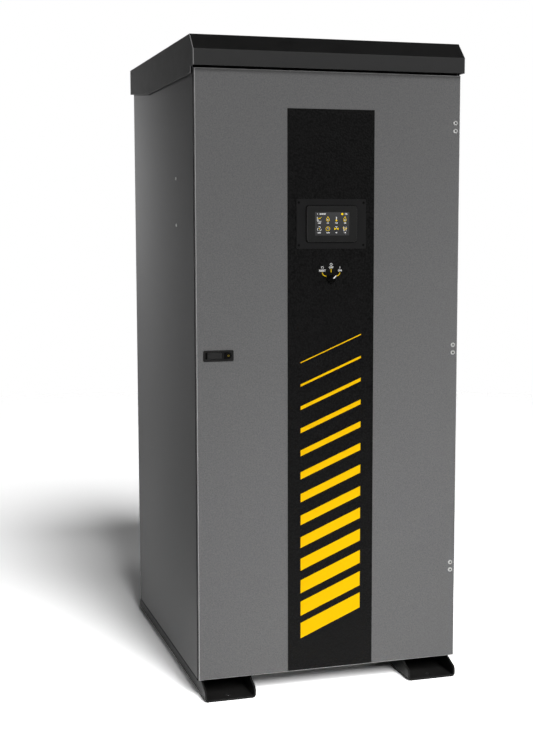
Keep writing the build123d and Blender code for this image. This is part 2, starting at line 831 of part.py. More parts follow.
nodes = {
    "left_skid": skid(-1),
    "right_skid": skid(1),
    "base_deck": base_deck(),
    "left_side_panel": side_panel(-1),
    "right_side_panel": side_panel(1),
    "back_panel": back_panel(),
    "lid": lid(),
    "front_left_post": front_post(-1),
    "front_right_post": front_post(1),
    "front_header": front_header(),
    "front_sill": front_sill(),
    "door_gasket": door_gasket(),
    "door_panel": door_panel(),
    "door_liner": door_liner(),
    "door_strip": door_strip(),
    "display_plate": display_plate(),
    "display_housing": display_housing(),
    "display_screen": display_screen(),
    "selector_body": selector_body(),
    "selector_knob": selector_knob(),
    "latch_body": latch_body(),
    "latch_lever": latch_lever(),
    "vessel_skirt": vessel_skirt(),
    "flue_collector": flue_collector(),
    "vessel_shell": vessel_shell(),
    "vessel_top_head": vessel_top_head(),
    "burner_plate": burner_plate(),
    "blower_housing": blower_housing(),
    "blower_motor": blower_motor(),
    "air_mixer": air_mixer(),
    "gas_valve": gas_valve(),
    "gas_pipe": pipe_y(
        gas_x, gas_height, GAS_PIPE_RADIUS, GAS_PIPE_WALL, gas_valve_back, connection_end
    ),
    "air_filter_box": air_filter_box(),
    "air_duct": pipe_y(
        duct_x, blower_height, DUCT_RADIUS, DUCT_WALL, filter_back, connection_end
    ),
    "supply_nozzle": water_nozzle(supply_height),
    "return_nozzle": water_nozzle(return_height),
    "flue_outlet": flue_outlet(),
    "condensate_drain": condensate_drain(),
    "electrical_box": electrical_box(),
}
for place, middle in hinge_heights.items():
    nodes[f"{place}_hinge_fixed_leaf"] = fixed_hinge(middle)
    nodes[f"{place}_hinge_door_leaf"] = door_hinge(middle)

os.makedirs("parts", exist_ok=True)
for name, shape in nodes.items():
    export_step(shape, f"parts/{name}.step")
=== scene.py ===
import json
import math
import bmesh
import bpy
from mathutils import Euler, Matrix, Vector


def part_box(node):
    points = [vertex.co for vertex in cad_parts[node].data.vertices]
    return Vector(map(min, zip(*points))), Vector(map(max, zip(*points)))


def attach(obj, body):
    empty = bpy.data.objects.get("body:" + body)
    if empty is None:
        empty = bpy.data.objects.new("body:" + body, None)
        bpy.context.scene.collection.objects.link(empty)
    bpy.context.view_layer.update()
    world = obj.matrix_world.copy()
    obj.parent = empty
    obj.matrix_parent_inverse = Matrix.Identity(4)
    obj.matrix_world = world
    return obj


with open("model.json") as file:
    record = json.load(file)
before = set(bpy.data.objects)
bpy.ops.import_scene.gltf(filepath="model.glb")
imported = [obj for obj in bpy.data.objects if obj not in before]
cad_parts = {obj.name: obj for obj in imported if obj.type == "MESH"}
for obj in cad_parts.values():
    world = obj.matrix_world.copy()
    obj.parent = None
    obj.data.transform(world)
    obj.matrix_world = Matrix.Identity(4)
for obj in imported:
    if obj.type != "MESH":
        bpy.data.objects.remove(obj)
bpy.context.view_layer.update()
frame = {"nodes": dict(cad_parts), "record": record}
scene = bpy.context.scene

# A floor-standing boiler cabinet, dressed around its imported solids.
# All sizes are in metres in the part's frame: +X right of the door, +Y to the back, +Z up.

# Camera
CAMERA_PLACE = (-1.1793, -3.8153, 1.2943)
CAMERA_YAW = 0.2864345
CAMERA_PITCH = 0.1063257
CAMERA_ROLL = -0.0026707
CAMERA_LENS = 63.84
CAMERA_SENSOR = 36.0

# Colours, as linear red, green and blue, or one number for a grey
GREY_PAINT = (0.150, 0.150, 0.151)
BLACK_PAINT = 0.010
BLACK_FILM = 0.0050
MOULDED_BLACK = 0.003
SCREEN_GREY = (0.042, 0.042, 0.043)
PRINT_YELLOW = (0.98, 0.57, 0.0)
MARK_YELLOW = (0.95, 0.66, 0.0)
PRINT_WHITE = 0.92
DUST = (0.22, 0.21, 0.20)
FLOOR_PALE = 0.78
FLOOR_SEEN = 2.55
CARD_BLACK = 0.004
WORLD_WHITE = 1.0

# Fineness of the finishes, in waves for each metre
POWDER_GRAIN = 620.0
POWDER_MOTTLE = 300.0
SATIN_GRAIN = 900.0
SATIN_MOTTLE = 40.0
MOULD_GRAIN = 1500.0
LEATHER_GRAIN = 190.0
CAST_GRAIN = 520.0
STUCCO_GRAIN = 130.0
RUBBER_GRAIN = 1100.0
DUST_PATCHES = 9.0
BRUSHED_AROUND = (60.0, 60.0, 1400.0)
BRUSHED_ALONG_Y = (1200.0, 40.0, 1200.0)
BRUSHED_ALONG_Z = (1200.0, 1200.0, 60.0)

# Ranges of noise, or of how a surface faces, over which an effect goes from none to full
GRAIN_RANGE = (0.25, 0.75)
PATCH_RANGE = (0.3, 0.7)
# EDGE_FACING to CORNER_FRONT_FROM set where the painted highlights along edges and corners fall
EDGE_FACING = (0.985, 0.80)
ROUNDING_FACING = (0.96, 0.84)
CORNER_SIDE_FROM = (0.35, 0.50)
CORNER_SIDE_TO = (0.96, 0.88)
CORNER_FRONT_FROM = (0.25, 0.45)
DUST_FACING = (0.55, 1.0)
DUST_RANGE = (0.25, 0.8)
PIT_RANGE = (0.0, 0.25)

# Other settings within an effect
BEVEL_SAMPLES = 6
LEATHER_SHADES = (0.4, 1.0)
LEATHER_CELL = 0.75
LEATHER_WANDER = 0.004
WORM_WIDTH = 0.07
SPECKLE_FINE = 0.45
SPECKLE_BROAD = 0.55
DUST_ROUGHNESS = 0.3
SCREEN_FALL = 0.8
SCREEN_PIXELS = 0.2
SCREEN_LOW = 0.75
SCREEN_HIGH = 1.2
SCREEN_ROUGHNESS = (0.20, 0.26)
SCREEN_GLOSS = 0.3

# Nodes whose finish differs from the plain one of their slot
NODE_FINISHES = {
    "left_skid": "skid_paint",
    "right_skid": "skid_paint",
    "base_deck": "frame_paint",
    "door_panel": "door_paint",
    "lid": "lid_paint",
    "front_left_post": "frame_paint",
    "front_right_post": "frame_paint",
    "front_header": "frame_paint",
    "front_sill": "frame_paint",
}

# Small sizes and step counts shared by the pieces
MERGE = 1e-6
SHARP_ANGLE = math.radians(32)
PRINT_THICKNESS = 0.0002
ROUND_SIDES = 32
ARC_STEPS = 20
MITRE_LIMIT = 0.4
LETTER_WEIGHT = 0.03
LETTER_STEPS = 3
RING_STEPS = 64
SECTION_ROUNDING_SHARE = 0.3
SECTION_STEPS = 3
SOCKET_TAPER = 0.98

# Turns that make a thing built upwards face another way
FRONT = (math.pi / 2, 0.0, 0.0)
BACK = (-math.pi / 2, 0.0, 0.0)
LEFT = (0.0, -math.pi / 2, 0.0)
RIGHT = (0.0, math.pi / 2, 0.0)
UP = (0.0, 0.0, 0.0)

# Print on the door's strip: slanted bars that thin out upwards
STRIP_BARS = {
    "Count": 13,
    "Width": 0.176,
    "Pitch": 0.063,
    "Thickest": 0.044,
    "Thinnest": 0.003,
    "Rise Share": 0.42,
    "Layer": PRINT_THICKNESS,
}
BARS_FROM_BOTTOM = 0.150

# Selector marks, measured from the knob's centre
MARK_WIDTH = 0.0019
MARK_FAR = 0.0255
MARK_FAR_RISE = 0.0165
MARK_NEAR = 0.0135
MARK_NEAR_RISE = 0.0066
MARK_STEPS = 8
MIDDLE_MARK_LOW = 0.0170
MIDDLE_MARK_HIGH = 0.0265
LABEL_SIZE = 0.0072
LABEL_RISE = 0.0215
MIDDLE_LABEL_RISE = 0.0300
LABEL_LINE = 0.0085
SYMBOL_RADIUS = 0.0030
SYMBOL_STROKE = 0.0011
POINTER_WIDTH = 0.0030
POINTER_SHARES = (0.08, 0.97)
POINTER_ANGLE = math.radians(45)

# Screen contents
ICON_HALF = 0.0066
ICON_STROKE = 0.0010
ICON_FIRST = 0.0119
ICON_SPACING = 0.0246
ICON_TOP_DROP = 0.0185
ICON_ROW_DROP = 0.0262
ICON_COLUMNS = 4
CAPTIONS = ("1450", "6.5", "72.0", "180", "3600", "12:00", "40", "1-8")
CAPTION_SIZE = 0.0046
CAPTION_DROP = 0.0108
HEADER_SIZE = 0.0052
HEADER_DROP = 0.0048
HEADER_INSET = 0.0055
STATUS_RADIUS = 0.0031
STATUS_INSET = 0.0200
# Painted shade round the display's housing: a dark ring on the plate
SHADE_RING_WIDTH = 0.0014
SHADE_RING_ROUNDING = 0.0074
SHADE_RING_THICKNESS = 0.0005
SHADE_RING_STEPS = 6

# Fasteners: head radius, rim height, crown height, crown share, middle share, middle rise
FASTENER_SIZES = ("Head Radius", "Rim Height", "Crown Height", "Crown Share", "Middle Share", "Middle Rise")
BUTTON_SCREW = (0.0066, 0.0008, 0.0022, 0.70, 0.62, -0.0016)
PANEL_SCREW = (0.0050, 0.0006, 0.0014, 0.72, 0.50, -0.0010)
PLATE_SCREW = (0.0034, 0.0004, 0.0006, 0.80, 0.66, -0.0008)
# A black disc of painted shade on a socket's floor, and its rise above the face
BUTTON_SOCKET_SHADE = (0.0027, 0.0001, 0.0001, 0.90, 0.50, -0.00005)
BUTTON_SOCKET_SHADE_RISE = 0.0014
HEX_NUT = (0.0110, 0.0085, 0.0008, 0.88, 0.62, 0.0080)
SMALL_BOLT = (0.0060, 0.0040, 0.0005, 0.86, 0.55, 0.0004)
RIVET = (0.0032, 0.0004, 0.0012, 0.60, 0.50, 0.0002)
LINER_PIN = (0.0110, 0.0006, 0.0010, 0.80, 0.25, 0.0006)
HINGE_SCREW_INSET = 0.0145
HINGE_SCREW_SPREAD = 0.011
PLATE_SCREW_INSET = (0.0066, 0.0097)
SIDE_SCREW_PLACES = ((-0.2105, 1.4315), (-0.2105, 1.3015))
BACK_SCREW_INSET = 0.012
BACK_SCREW_SPACING = 0.19
LINER_PIN_COLUMNS = 4
LINER_PIN_ROWS = 8
LINER_PIN_INSET = 0.030

# Latch lock
LOCK_INSET = 0.0145
LOCK_RECESS_DEPTH = 0.0012
LOCK_RECESS_LENGTH = 0.0123
LOCK_RECESS_RADIUS = 0.0093
LOCK_FACE_RADIUS = 0.0066
LOCK_PLUG_RADIUS = 0.0030
LOCK_REACH = 0.0004
LOCK_BEVEL_SHARE = 0.5
KEY_SLOT = (0.0009, 0.0038)

# Dressing of the back and the inside
GROMMET_WIDTH = 0.009
GROMMET_THICKNESS = 0.005
RAISED_FACE_RADIUS = 0.0635
RAISED_FACE_THICKNESS = 0.0016
WATER_NOZZLES = ("supply_nozzle", "return_nozzle")
WATER_PIPE_RADIUS = 0.04445
WATER_BORE_RADIUS = 0.03895
BAND_WIDTH = 0.022
BAND_THICKNESS = 0.0012
BAND_HEIGHT_SHARES = (0.06, 0.50, 0.80)
SEAM_WIDTH = 0.030
SEAM_RIVETS = 22
SEAM_SINK = 0.004
HEAD_BOLT_SHARE = 0.93
HEAD_BOLT_COUNT = 20
PLATE_NUT_SHARE = 0.86
PLATE_NUT_COUNT = 12
BURNER_PLATE_THICKNESS = 0.018
BLOWER_BOLT_SHARE = 0.88
BLOWER_BOLT_COUNT = 8
BLOWER_SEAM_WIDTH = 0.014
BLOWER_SEAM_THICKNESS = 0.006
MOTOR_RIB_COUNT = 28
MOTOR_RIB_HEIGHT = 0.005
MOTOR_RIB_WIDTH = 0.0026
MOTOR_RIB_LENGTH_SHARE = 0.72
VALVE_CAP_SHARE = 0.24
VALVE_CAP_RADIUS = 0.016
VALVE_CAP_REACH = 0.022
VALVE_CAP_PROFILE = ((1.0, 0.0), (1.0, 0.8), (0.85, 1.0), (0.4, 1.0))
LOUVRE_COUNT = 7
LOUVRE_PITCH = 0.014
LOUVRE_LENGTH_SHARE = 0.45
LOUVRE_HEIGHT = 0.005
LOUVRE_REACH = 0.003
LOUVRE_DROP = 0.060
COVER_SCREW_INSET = 0.018
FILTER_RIB_COUNT = 6
FILTER_RIB_INSET = 0.028
FILTER_RIB_SHARE = 0.8

# Studio floor and world
FLOOR_RADIUS = 7.0
FLOOR_SIDES = 96
FLOOR_FADE = (4.0, 6.5)
AMBIENT = 0.02

# Suns: where from, strength and spread
SUNS = {
    "key_lamp": ((0.13, -1.0, 1.02), 1.62, math.radians(22)),
    "front_lamp": ((0.35, -1.0, 0.05), 0.74, math.radians(30)),
}

# Lamps: place, target, width, height, power and spread
LAMPS = {
    "lower_door_lamp": ((0.4, -4.0, 2.1), (0.05, -0.4, 0.05), 1.2, 0.8, 2.0, math.radians(30)),
    "left_high_lamp": ((-1.7, 1.8, 2.3), (-0.38, 0.60, 1.44), 0.5, 0.5, 5.2, math.radians(42)),
    "left_low_lamp": ((-1.9, 0.9, 0.06), (-0.38, 0.33, 0.40), 0.4, 0.08, 0.4, math.radians(40)),
    "right_lamp": ((2.6, -1.7, 1.5), (0.4, 0.1, 1.0), 1.0, 1.4, 2.6, math.radians(46)),
    "back_lamp": ((1.9, 4.0, 0.4), (0.15, 0.4, 1.2), 1.4, 0.8, 7.0, math.radians(40)),
}

# A lamp and dark cards that only reflections see: place, target, width, height and the lamp's power
GLINT_LAMP = ((-2.2, -3.0, 1.3), (-0.38, -0.43, 1.3), 0.6, 3.0, 60.0)
CARDS = {
    "front_card": ((0.8, -6.4, 0.8), (0.8, 0.0, 0.8), 9.0, 2.8),
    "ceiling_card": ((0.2, 0.0, 4.4), (0.2, 0.0, 0.0), 5.0, 5.0),
    "left_card": ((-0.95, 1.6, 1.2), (0.0, 1.6, 1.2), 3.8, 3.6),
    "left_high_card": ((-0.95, 3.0, 2.6), (0.0, 3.0, 2.6), 2.4, 1.3),
}


# Node helpers
def feed(tree, inputs, feeds):
    """Each feed is a constant for that input, or the socket that drives it."""
    for key, value in feeds.items():
        if isinstance(value, bpy.types.NodeSocket):
            tree.links.new(value, inputs[key])
        else:
            inputs[key].default_value = value


def place(tree, kind, feeds=None, **settings):
    """Adds a node with its settings and what feeds it."""
    node = tree.nodes.new(kind)
    for name, value in settings.items():
        setattr(node, name, value)
    feed(tree, node.inputs, feeds or {})
    return node


def put(tree, kind, feeds=None, output=0, **settings):
    """Adds a shader node and gives one of its outputs."""
    return place(tree, "ShaderNode" + kind, feeds, **settings).outputs[output]


def grown(tree, kind, feeds=None, **settings):
    """Adds a geometry node and gives its first output."""
    return place(tree, "GeometryNode" + kind, feeds, **settings).outputs[0]


def new_group(name, kind, inputs, outputs):
    tree = bpy.data.node_groups.new(name, kind)
    for side, sockets in (("INPUT", inputs), ("OUTPUT", outputs)):
        for label, socket in sockets.items():
            tree.interface.new_socket(name=label, in_out=side, socket_type="NodeSocket" + socket)
    return tree, tree.nodes.new("NodeGroupInput").outputs, tree.nodes.new("NodeGroupOutput").inputs


def arithmetic(tree, operation, first, second=0.0):
    return put(tree, "Math", {0: first, 1: second}, operation=operation)


def spread(tree, value, low, high, to_low=0.0, to_high=1.0):
    """Maps a value's range to another, without going past its ends."""
    feeds = {"Value": value, "From Min": low, "From Max": high, "To Min": to_low, "To Max": to_high}
    return put(tree, "MapRange", feeds)


def weighted(tree, first, first_share, second, second_share):
    parts = [arithmetic(tree, "MULTIPLY", *pair) for pair in ((first, first_share), (second, second_share))]
    return arithmetic(tree, "ADD", *parts)


def mix_colour(tree, share, first, second):
    return put(tree, "Mix", {0: share, 6: first, 7: second}, 2, data_type="RGBA")


def noise(tree, vector, scale, detail=2.0, roughness=0.55):
    feeds = {"Vector": vector, "Scale": scale, "Detail": detail, "Roughness": roughness}
    return put(tree, "TexNoise", feeds)


def object_coordinates(tree):
    return put(tree, "TexCoord", output="Object")


def opaque(colour, share=1.0):
    channels = colour if isinstance(colour, tuple) else (colour,) * 3
    return tuple(channel * share for channel in channels) + (1.0,)


# Effects that several finishes share
PATTERN_OUTPUTS = {"Shade": "Float", "Height": "Float"}


def make_soft_edges():
    """Rounds edges in the shading, and marks all edges, rounded edges, or upright corners to the side, for
    painted highlights.
    """
    outputs = {"Normal": "Vector", "Edge": "Float", "Rounding": "Float", "Corner": "Float"}
    tree, start, end = new_group("soft_edges", "ShaderNodeTree", {"Radius": "Float"}, outputs)
    rounded = put(tree, "Bevel", {"Radius": start["Radius"]}, samples=BEVEL_SAMPLES)
    surface = put(tree, "NewGeometry", output="Normal")
    facing_surface = put(tree, "VectorMath", {0: rounded, 1: surface}, "Value", operation="DOT_PRODUCT")
    settings = {"vector_type": "NORMAL", "convert_from": "WORLD", "convert_to": "OBJECT"}
    turned = put(tree, "VectorTransform", {0: rounded}, **settings)
    parts = place(tree, "ShaderNodeSeparateXYZ", {0: turned}).outputs
    across, deep, high = [arithmetic(tree, "ABSOLUTE", part) for part in parts]
    square = arithmetic(tree, "MAXIMUM", arithmetic(tree, "MAXIMUM", across, deep), high)
    sideways = arithmetic(
        tree, "MINIMUM", spread(tree, across, *CORNER_SIDE_FROM), spread(tree, across, *CORNER_SIDE_TO)
    )
    corner = arithmetic(tree, "MINIMUM", sideways, spread(tree, deep, *CORNER_FRONT_FROM))
    edge_highlight = spread(tree, facing_surface, *EDGE_FACING)
    rounding = spread(tree, square, *ROUNDING_FACING)
    feed(tree, end, {"Normal": rounded, "Edge": edge_highlight, "Rounding": rounding, "Corner": corner})
    return tree


def make_speckle():
    """Fine grain over broad, faint patches, as on powder coat and moulded plastic."""
    inputs = {"Grain": "Float", "Mottle": "Float"}
    tree, start, end = new_group("speckle", "ShaderNodeTree", inputs, PATTERN_OUTPUTS)
    here = object_coordinates(tree)
    fine = spread(tree, noise(tree, here, start["Grain"]), *GRAIN_RANGE)
    broad = spread(tree, noise(tree, here, start["Mottle"], detail=3.0), *PATCH_RANGE)
    shade = weighted(tree, fine, SPECKLE_FINE, broad, SPECKLE_BROAD)
    feed(tree, end, {"Shade": shade, "Height": fine})
    return tree


def make_brushing():
    """Streaks along one direction, as brushing and rolling leave on metal."""
    tree, start, end = new_group("brushing", "ShaderNodeTree", {"Stretch": "Vector"}, PATTERN_OUTPUTS)
    feeds = {"Vector": object_coordinates(tree), "Scale": start["Stretch"]}
    stretched = put(tree, "Mapping", feeds)
    streaks = spread(tree, noise(tree, stretched, 1.0, detail=4.0, roughness=0.65), *GRAIN_RANGE)
    feed(tree, end, {"Shade": streaks, "Height": streaks})
    return tree


def make_dust_film():
    """Thin patchy dust on what faces up."""
    tree, start, end = new_group("dust_film", "ShaderNodeTree", {"Amount": "Float"}, {"Mask": "Float"})
    surface = put(tree, "NewGeometry", output="Normal")
    upward = spread(tree, put(tree, "SeparateXYZ", {0: surface}, "Z"), *DUST_FACING)
    clouds = noise(tree, object_coordinates(tree), DUST_PATCHES, detail=6.0, roughness=0.6)
    film = arithmetic(tree, "MULTIPLY", upward, spread(tree, clouds, *DUST_RANGE))
    tree.links.new(arithmetic(tree, "MULTIPLY", film, start["Amount"]), end["Mask"])
    return tree


soft_edges = make_soft_edges()
speckle = make_speckle()
brushing = make_brushing()
dust_film = make_dust_film()


# Surface patterns: each gives a shade and a height that change over the surface
def grouped(group, **values):
    def pattern(tree):
        outputs = place(tree, "ShaderNodeGroup", values, node_tree=group).outputs
        return outputs["Shade"], outputs["Height"]

    return pattern


def leathery(tree):
    """The film's pebbled face: small rounded cells of uneven size."""
    here = object_coordinates(tree)
    feeds = {"Vector": here, "Scale": LEATHER_GRAIN, "Detail": 1.0}
    wander = put(tree, "TexNoise", feeds, "Color")
    shift = put(tree, "VectorMath", {0: wander, "Scale": LEATHER_WANDER}, operation="SCALE")
    moved = put(tree, "VectorMath", {0: here, 1: shift}, operation="ADD")
    cells = put(tree, "TexVoronoi", {"Vector": moved, "Scale": LEATHER_GRAIN}, "Distance")
    height = spread(tree, cells, 0.0, LEATHER_CELL, 1.0, 0.0)
    patches = spread(tree, noise(tree, here, POWDER_MOTTLE, detail=3.0), *PATCH_RANGE, *LEATHER_SHADES)
    return arithmetic(tree, "MULTIPLY", height, patches), height


def sand_cast(tree):
    here = object_coordinates(tree)
    grain = spread(tree, noise(tree, here, CAST_GRAIN, detail=4.0, roughness=0.6), *PATCH_RANGE)
    pits = put(tree, "TexVoronoi", {"Vector": here, "Scale": CAST_GRAIN}, "Distance")
    return grain, arithmetic(tree, "MULTIPLY", grain, spread(tree, pits, *PIT_RANGE))


def stucco(tree):
    """Embossed sheet: worm-like raised shapes."""
    here = object_coordinates(tree)
    wander = noise(tree, here, STUCCO_GRAIN, detail=1.0, roughness=0.4)
    worms = arithmetic(tree, "ABSOLUTE", arithmetic(tree, "SUBTRACT", wander, 0.5))
    shade = spread(tree, noise(tree, here, SATIN_MOTTLE, detail=3.0), *PATCH_RANGE)
    return shade, spread(tree, worms, 0.0, WORM_WIDTH, 1.0, 0.0)


powder = grouped(speckle, Grain=POWDER_GRAIN, Mottle=POWDER_MOTTLE)
smooth_powder = grouped(speckle, Grain=POWDER_GRAIN, Mottle=SATIN_MOTTLE)
satin = grouped(speckle, Grain=SATIN_GRAIN, Mottle=SATIN_MOTTLE)
plated = grouped(speckle, Grain=SATIN_GRAIN, Mottle=POWDER_MOTTLE)
moulded = grouped(speckle, Grain=MOULD_GRAIN, Mottle=SATIN_MOTTLE)
rubbery = grouped(speckle, Grain=RUBBER_GRAIN, Mottle=SATIN_MOTTLE)
brushed_around = grouped(brushing, Stretch=BRUSHED_AROUND)
brushed_along_y = grouped(brushing, Stretch=BRUSHED_ALONG_Y)
brushed_along_z = grouped(brushing, Stretch=BRUSHED_ALONG_Z)

# Finishes: pattern, colour, contrast, roughness range, bump height, rounding of edges, then what else
# differs, such as a painted highlight along edges
FINISHES = {
    "cabinet_paint": (powder, GREY_PAINT, 0.20, (0.48, 0.58), 0.00012, 0.0012,
                      dict(edge_highlight=0.30, edge_highlight_share=0.25, dust=0.05, specular=0.14)),
    # The door's rounded edges get a painted highlight, much lighter than its paint
    "door_paint": (powder, GREY_PAINT, 0.32, (0.48, 0.58), 0.00018, 0.0024,
                   dict(edge_highlight=0.72, edge_highlight_share=0.9, edge_highlight_mask="Rounding", dust=0.05, specular=0.2)),
    "frame_paint": (satin, 0.006, 0.14, (0.45, 0.55), 0.00006, 0.0008, dict(specular=0.03)),
    "black_paint": (satin, BLACK_PAINT, 0.14, (0.32, 0.38), 0.00006, 0.0030, dict(edge_highlight=0.16, dust=0.06)),
    # The lid's upright corners get a painted highlight
    "lid_paint": (satin, BLACK_PAINT, 0.14, (0.32, 0.38), 0.00006, 0.0036,
                  dict(edge_highlight=0.85, edge_highlight_share=0.9, edge_highlight_mask="Corner", dust=0.06)),
    "skid_paint": (satin, 0.011, 0.16, (0.34, 0.44), 0.00008, 0.0024,
                   dict(edge_highlight=0.12, edge_highlight_share=0.45, dust=0.10, specular=0.10)),
    "gasket_rubber": (rubbery, 0.006, 0.3, (0.75, 0.9), 0.00012, 0.0010, dict(specular=0.25)),
    "door_insulation": (stucco, (0.070, 0.070, 0.072), 0.12, (0.45, 0.6), 0.00025, 0.0008, dict(dust=0.05)),
    "strip_film": (leathery, BLACK_FILM, 0.80, (0.34, 0.56), 0.00080, 0.0004, dict(specular=0.11)),
    "display_frame": (satin, (0.0102, 0.0102, 0.0104), 0.10, (0.42, 0.50), 0.00004, 0.0008,
                      dict(edge_highlight=0.05, edge_highlight_share=0.3, specular=0.12)),
    "display_plastic": (moulded, (0.0092, 0.0092, 0.0091), 0.06, (0.38, 0.42), 0.00002, 0.0012,
                        dict(specular=0.25)),
    # The knob's edges get a faint painted highlight
    "switch_plastic": (moulded, MOULDED_BLACK, 0.2, (0.36, 0.48), 0.00004, 0.0010,
                       dict(edge_highlight=0.07, edge_highlight_share=0.6, specular=0.02)),
    "latch_plastic": (moulded, (0.0140, 0.0140, 0.0138), 0.2, (0.40, 0.52), 0.00005, 0.0012,
                      dict(edge_highlight=0.04, edge_highlight_share=0.4, specular=0.12)),
    "lever_plastic": (moulded, (0.0220, 0.0220, 0.0218), 0.12, (0.40, 0.52), 0.00005, 0.0010,
                      dict(edge_highlight=0.05, edge_highlight_share=0.4, specular=0.14)),
    "zinc_steel": (plated, (0.62, 0.62, 0.61), 0.10, (0.34, 0.46), 0.00003, 0.0005, dict(metallic=0.6)),
    "jacket_steel": (stucco, (0.38, 0.385, 0.39), 0.06, (0.40, 0.52), 0.00035, 0.0010, dict(metallic=1.0)),
    "stainless_steel": (brushed_around, (0.40, 0.39, 0.375), 0.12, (0.28, 0.42), 0.00002, 0.0010,
                        dict(metallic=1.0)),
    "primer_steel": (smooth_powder, (0.055, 0.055, 0.058), 0.15, (0.55, 0.7), 0.00010, 0.0014,
                     dict(edge_highlight=0.12, edge_highlight_share=0.35, dust=0.08)),
    "cast_aluminium": (sand_cast, 0.46, 0.10, (0.45, 0.6), 0.00035, 0.0020, dict(metallic=1.0)),
    "motor_plastic": (moulded, MOULDED_BLACK, 0.25, (0.45, 0.6), 0.00006, 0.0012, dict(dust=0.06)),
    "valve_body": (sand_cast, (0.40, 0.41, 0.42), 0.08, (0.36, 0.5), 0.00015, 0.0012, dict(metallic=1.0)),
    "gas_steel": (brushed_along_y, (0.040, 0.038, 0.036), 0.2, (0.42, 0.58), 0.00004, 0.0008, {}),
    "filter_plastic": (moulded, (0.085, 0.086, 0.088), 0.08, (0.42, 0.55), 0.00006, 0.0020, dict(dust=0.06)),
    "box_paint": (smooth_powder, (0.42, 0.42, 0.41), 0.04, (0.42, 0.54), 0.00006, 0.0012, {}),
    # Black oxide on small screws and the lock face; the same dark finish paints shade in the lock recess,
    # key slot, screw sockets and round the display
    "black_oxide_and_painted_shade": (plated, 0.003, 0.3, (0.5, 0.62), 0.00002, 0.0004, dict(specular=0.05)),
    "brass": (brushed_along_z, (0.26, 0.19, 0.03), 0.12, (0.26, 0.4), 0.00002, 0.0003, dict(metallic=1.0)),
}

# Prints: colour and glow
PRINTS = {
    "yellow_print": (PRINT_YELLOW, 0.0),
    "white_print": (PRINT_WHITE, 0.0),
    "yellow_marks": (MARK_YELLOW, 0.0),
    "yellow_pixels": (MARK_YELLOW, 0.25),
    "white_pixels": (PRINT_WHITE, 0.12),
}


def new_material(name):
    material = bpy.data.materials.new(name)
    material.use_nodes = True
    return material, material.node_tree, material.node_tree.nodes["Principled BSDF"].inputs


def finish(name, pattern, colour, contrast, rough, bump, rounding, edge_highlight=0.0, edge_highlight_share=0.5,
           edge_highlight_mask="Edge", dust=0.0, metallic=0.0, specular=0.5):
    material, tree, shader = new_material(name)
    shade, height = pattern(tree)
    edges = place(tree, "ShaderNodeGroup", {"Radius": rounding}, node_tree=soft_edges).outputs
    tint = mix_colour(tree, shade, opaque(colour, 1 - contrast), opaque(colour, 1 + contrast))
    roughness = spread(tree, shade, 0.0, 1.0, *rough)
    # Painted highlight: a lighter colour along edges and corners, where they would catch the light
    if edge_highlight:
        highlight_share = arithmetic(tree, "MULTIPLY", edges[edge_highlight_mask], edge_highlight_share)
        tint = mix_colour(tree, highlight_share, tint, opaque(edge_highlight))
    if dust:
        film = put(tree, "Group", {"Amount": dust}, node_tree=dust_film)
        tint = mix_colour(tree, film, tint, opaque(DUST))
        roughness = arithmetic(tree, "ADD", roughness, arithmetic(tree, "MULTIPLY", film, DUST_ROUGHNESS))
    relief = put(tree, "Bump", {"Height": height, "Distance": bump, "Normal": edges["Normal"]})
    feed(tree, shader, {"Base Color": tint, "Roughness": roughness, "Normal": relief})
    feed(tree, shader, {"Metallic": metallic, "Specular IOR Level": specular})
    return material


def lit_screen(name):
    """A lit panel behind glass: a faint glow that falls off towards its bottom."""
    low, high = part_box("display_screen")
    material, tree, shader = new_material(name)
    here = object_coordinates(tree)
    fall = spread(tree, put(tree, "SeparateXYZ", {0: here}, "Z"), low.z, high.z)
    pixels = spread(tree, noise(tree, here, MOULD_GRAIN), *PATCH_RANGE)
    share = weighted(tree, fall, SCREEN_FALL, pixels, SCREEN_PIXELS)
    glow = mix_colour(tree, share, opaque(SCREEN_GREY, SCREEN_LOW), opaque(SCREEN_GREY, SCREEN_HIGH))
    roughness = spread(tree, pixels, 0.0, 1.0, *SCREEN_ROUGHNESS)
    feed(tree, shader, {"Emission Color": glow, "Emission Strength": 1.0, "Roughness": roughness})
    feed(tree, shader, {"Base Color": opaque(BLACK_FILM), "Specular IOR Level": SCREEN_GLOSS})
    return material


def printed(name, colour, glow):
    """Ink, or a lit mark on the screen, with a little unevenness."""
    material = finish(name, plated, colour, 0.04, (0.42, 0.52), 0.00002, 0.0001, specular=0.1)
    shader = material.node_tree.nodes["Principled BSDF"].inputs
    feed(material.node_tree, shader, {"Emission Color": opaque(colour), "Emission Strength": glow})
    return material


finishes = {name: finish(name, *row[:-1], **row[-1]) for name, row in FINISHES.items()}
finishes.update({name: printed(name, *row) for name, row in PRINTS.items()})
finishes["display_glass"] = lit_screen("display_glass")


def dress_nodes():
    for subpart in frame["record"]["subparts"]:
        mesh = frame["nodes"][subpart["node"]].data
        mesh.materials.clear()
        mesh.materials.append(finishes[NODE_FINISHES.get(subpart["node"], subpart["material_slot"])])


# Mesh helpers
def box_of(node):
    low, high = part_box(node)
    return low, high, (low + high) / 2


def add_piece(name, mesh, material, body="cabinet"):
    """Puts a mesh in the scene, riding on its body, with its finish."""
    mesh.shade_smooth()
    mesh.set_sharp_from_angle(angle=SHARP_ANGLE)
    mesh.materials.clear()
    mesh.materials.append(finishes[material])
    piece = bpy.data.objects.new(name, mesh)
    scene.collection.objects.link(piece)
    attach(piece, body)


def evaluated_mesh(holder):
    """The mesh that an object's text or modifier makes. The object itself goes."""
    scene.collection.objects.link(holder)
    bpy.context.view_layer.update()
    mesh = bpy.data.meshes.new_from_object(holder.evaluated_get(bpy.context.evaluated_depsgraph_get()))
    bpy.data.objects.remove(holder)
    return mesh


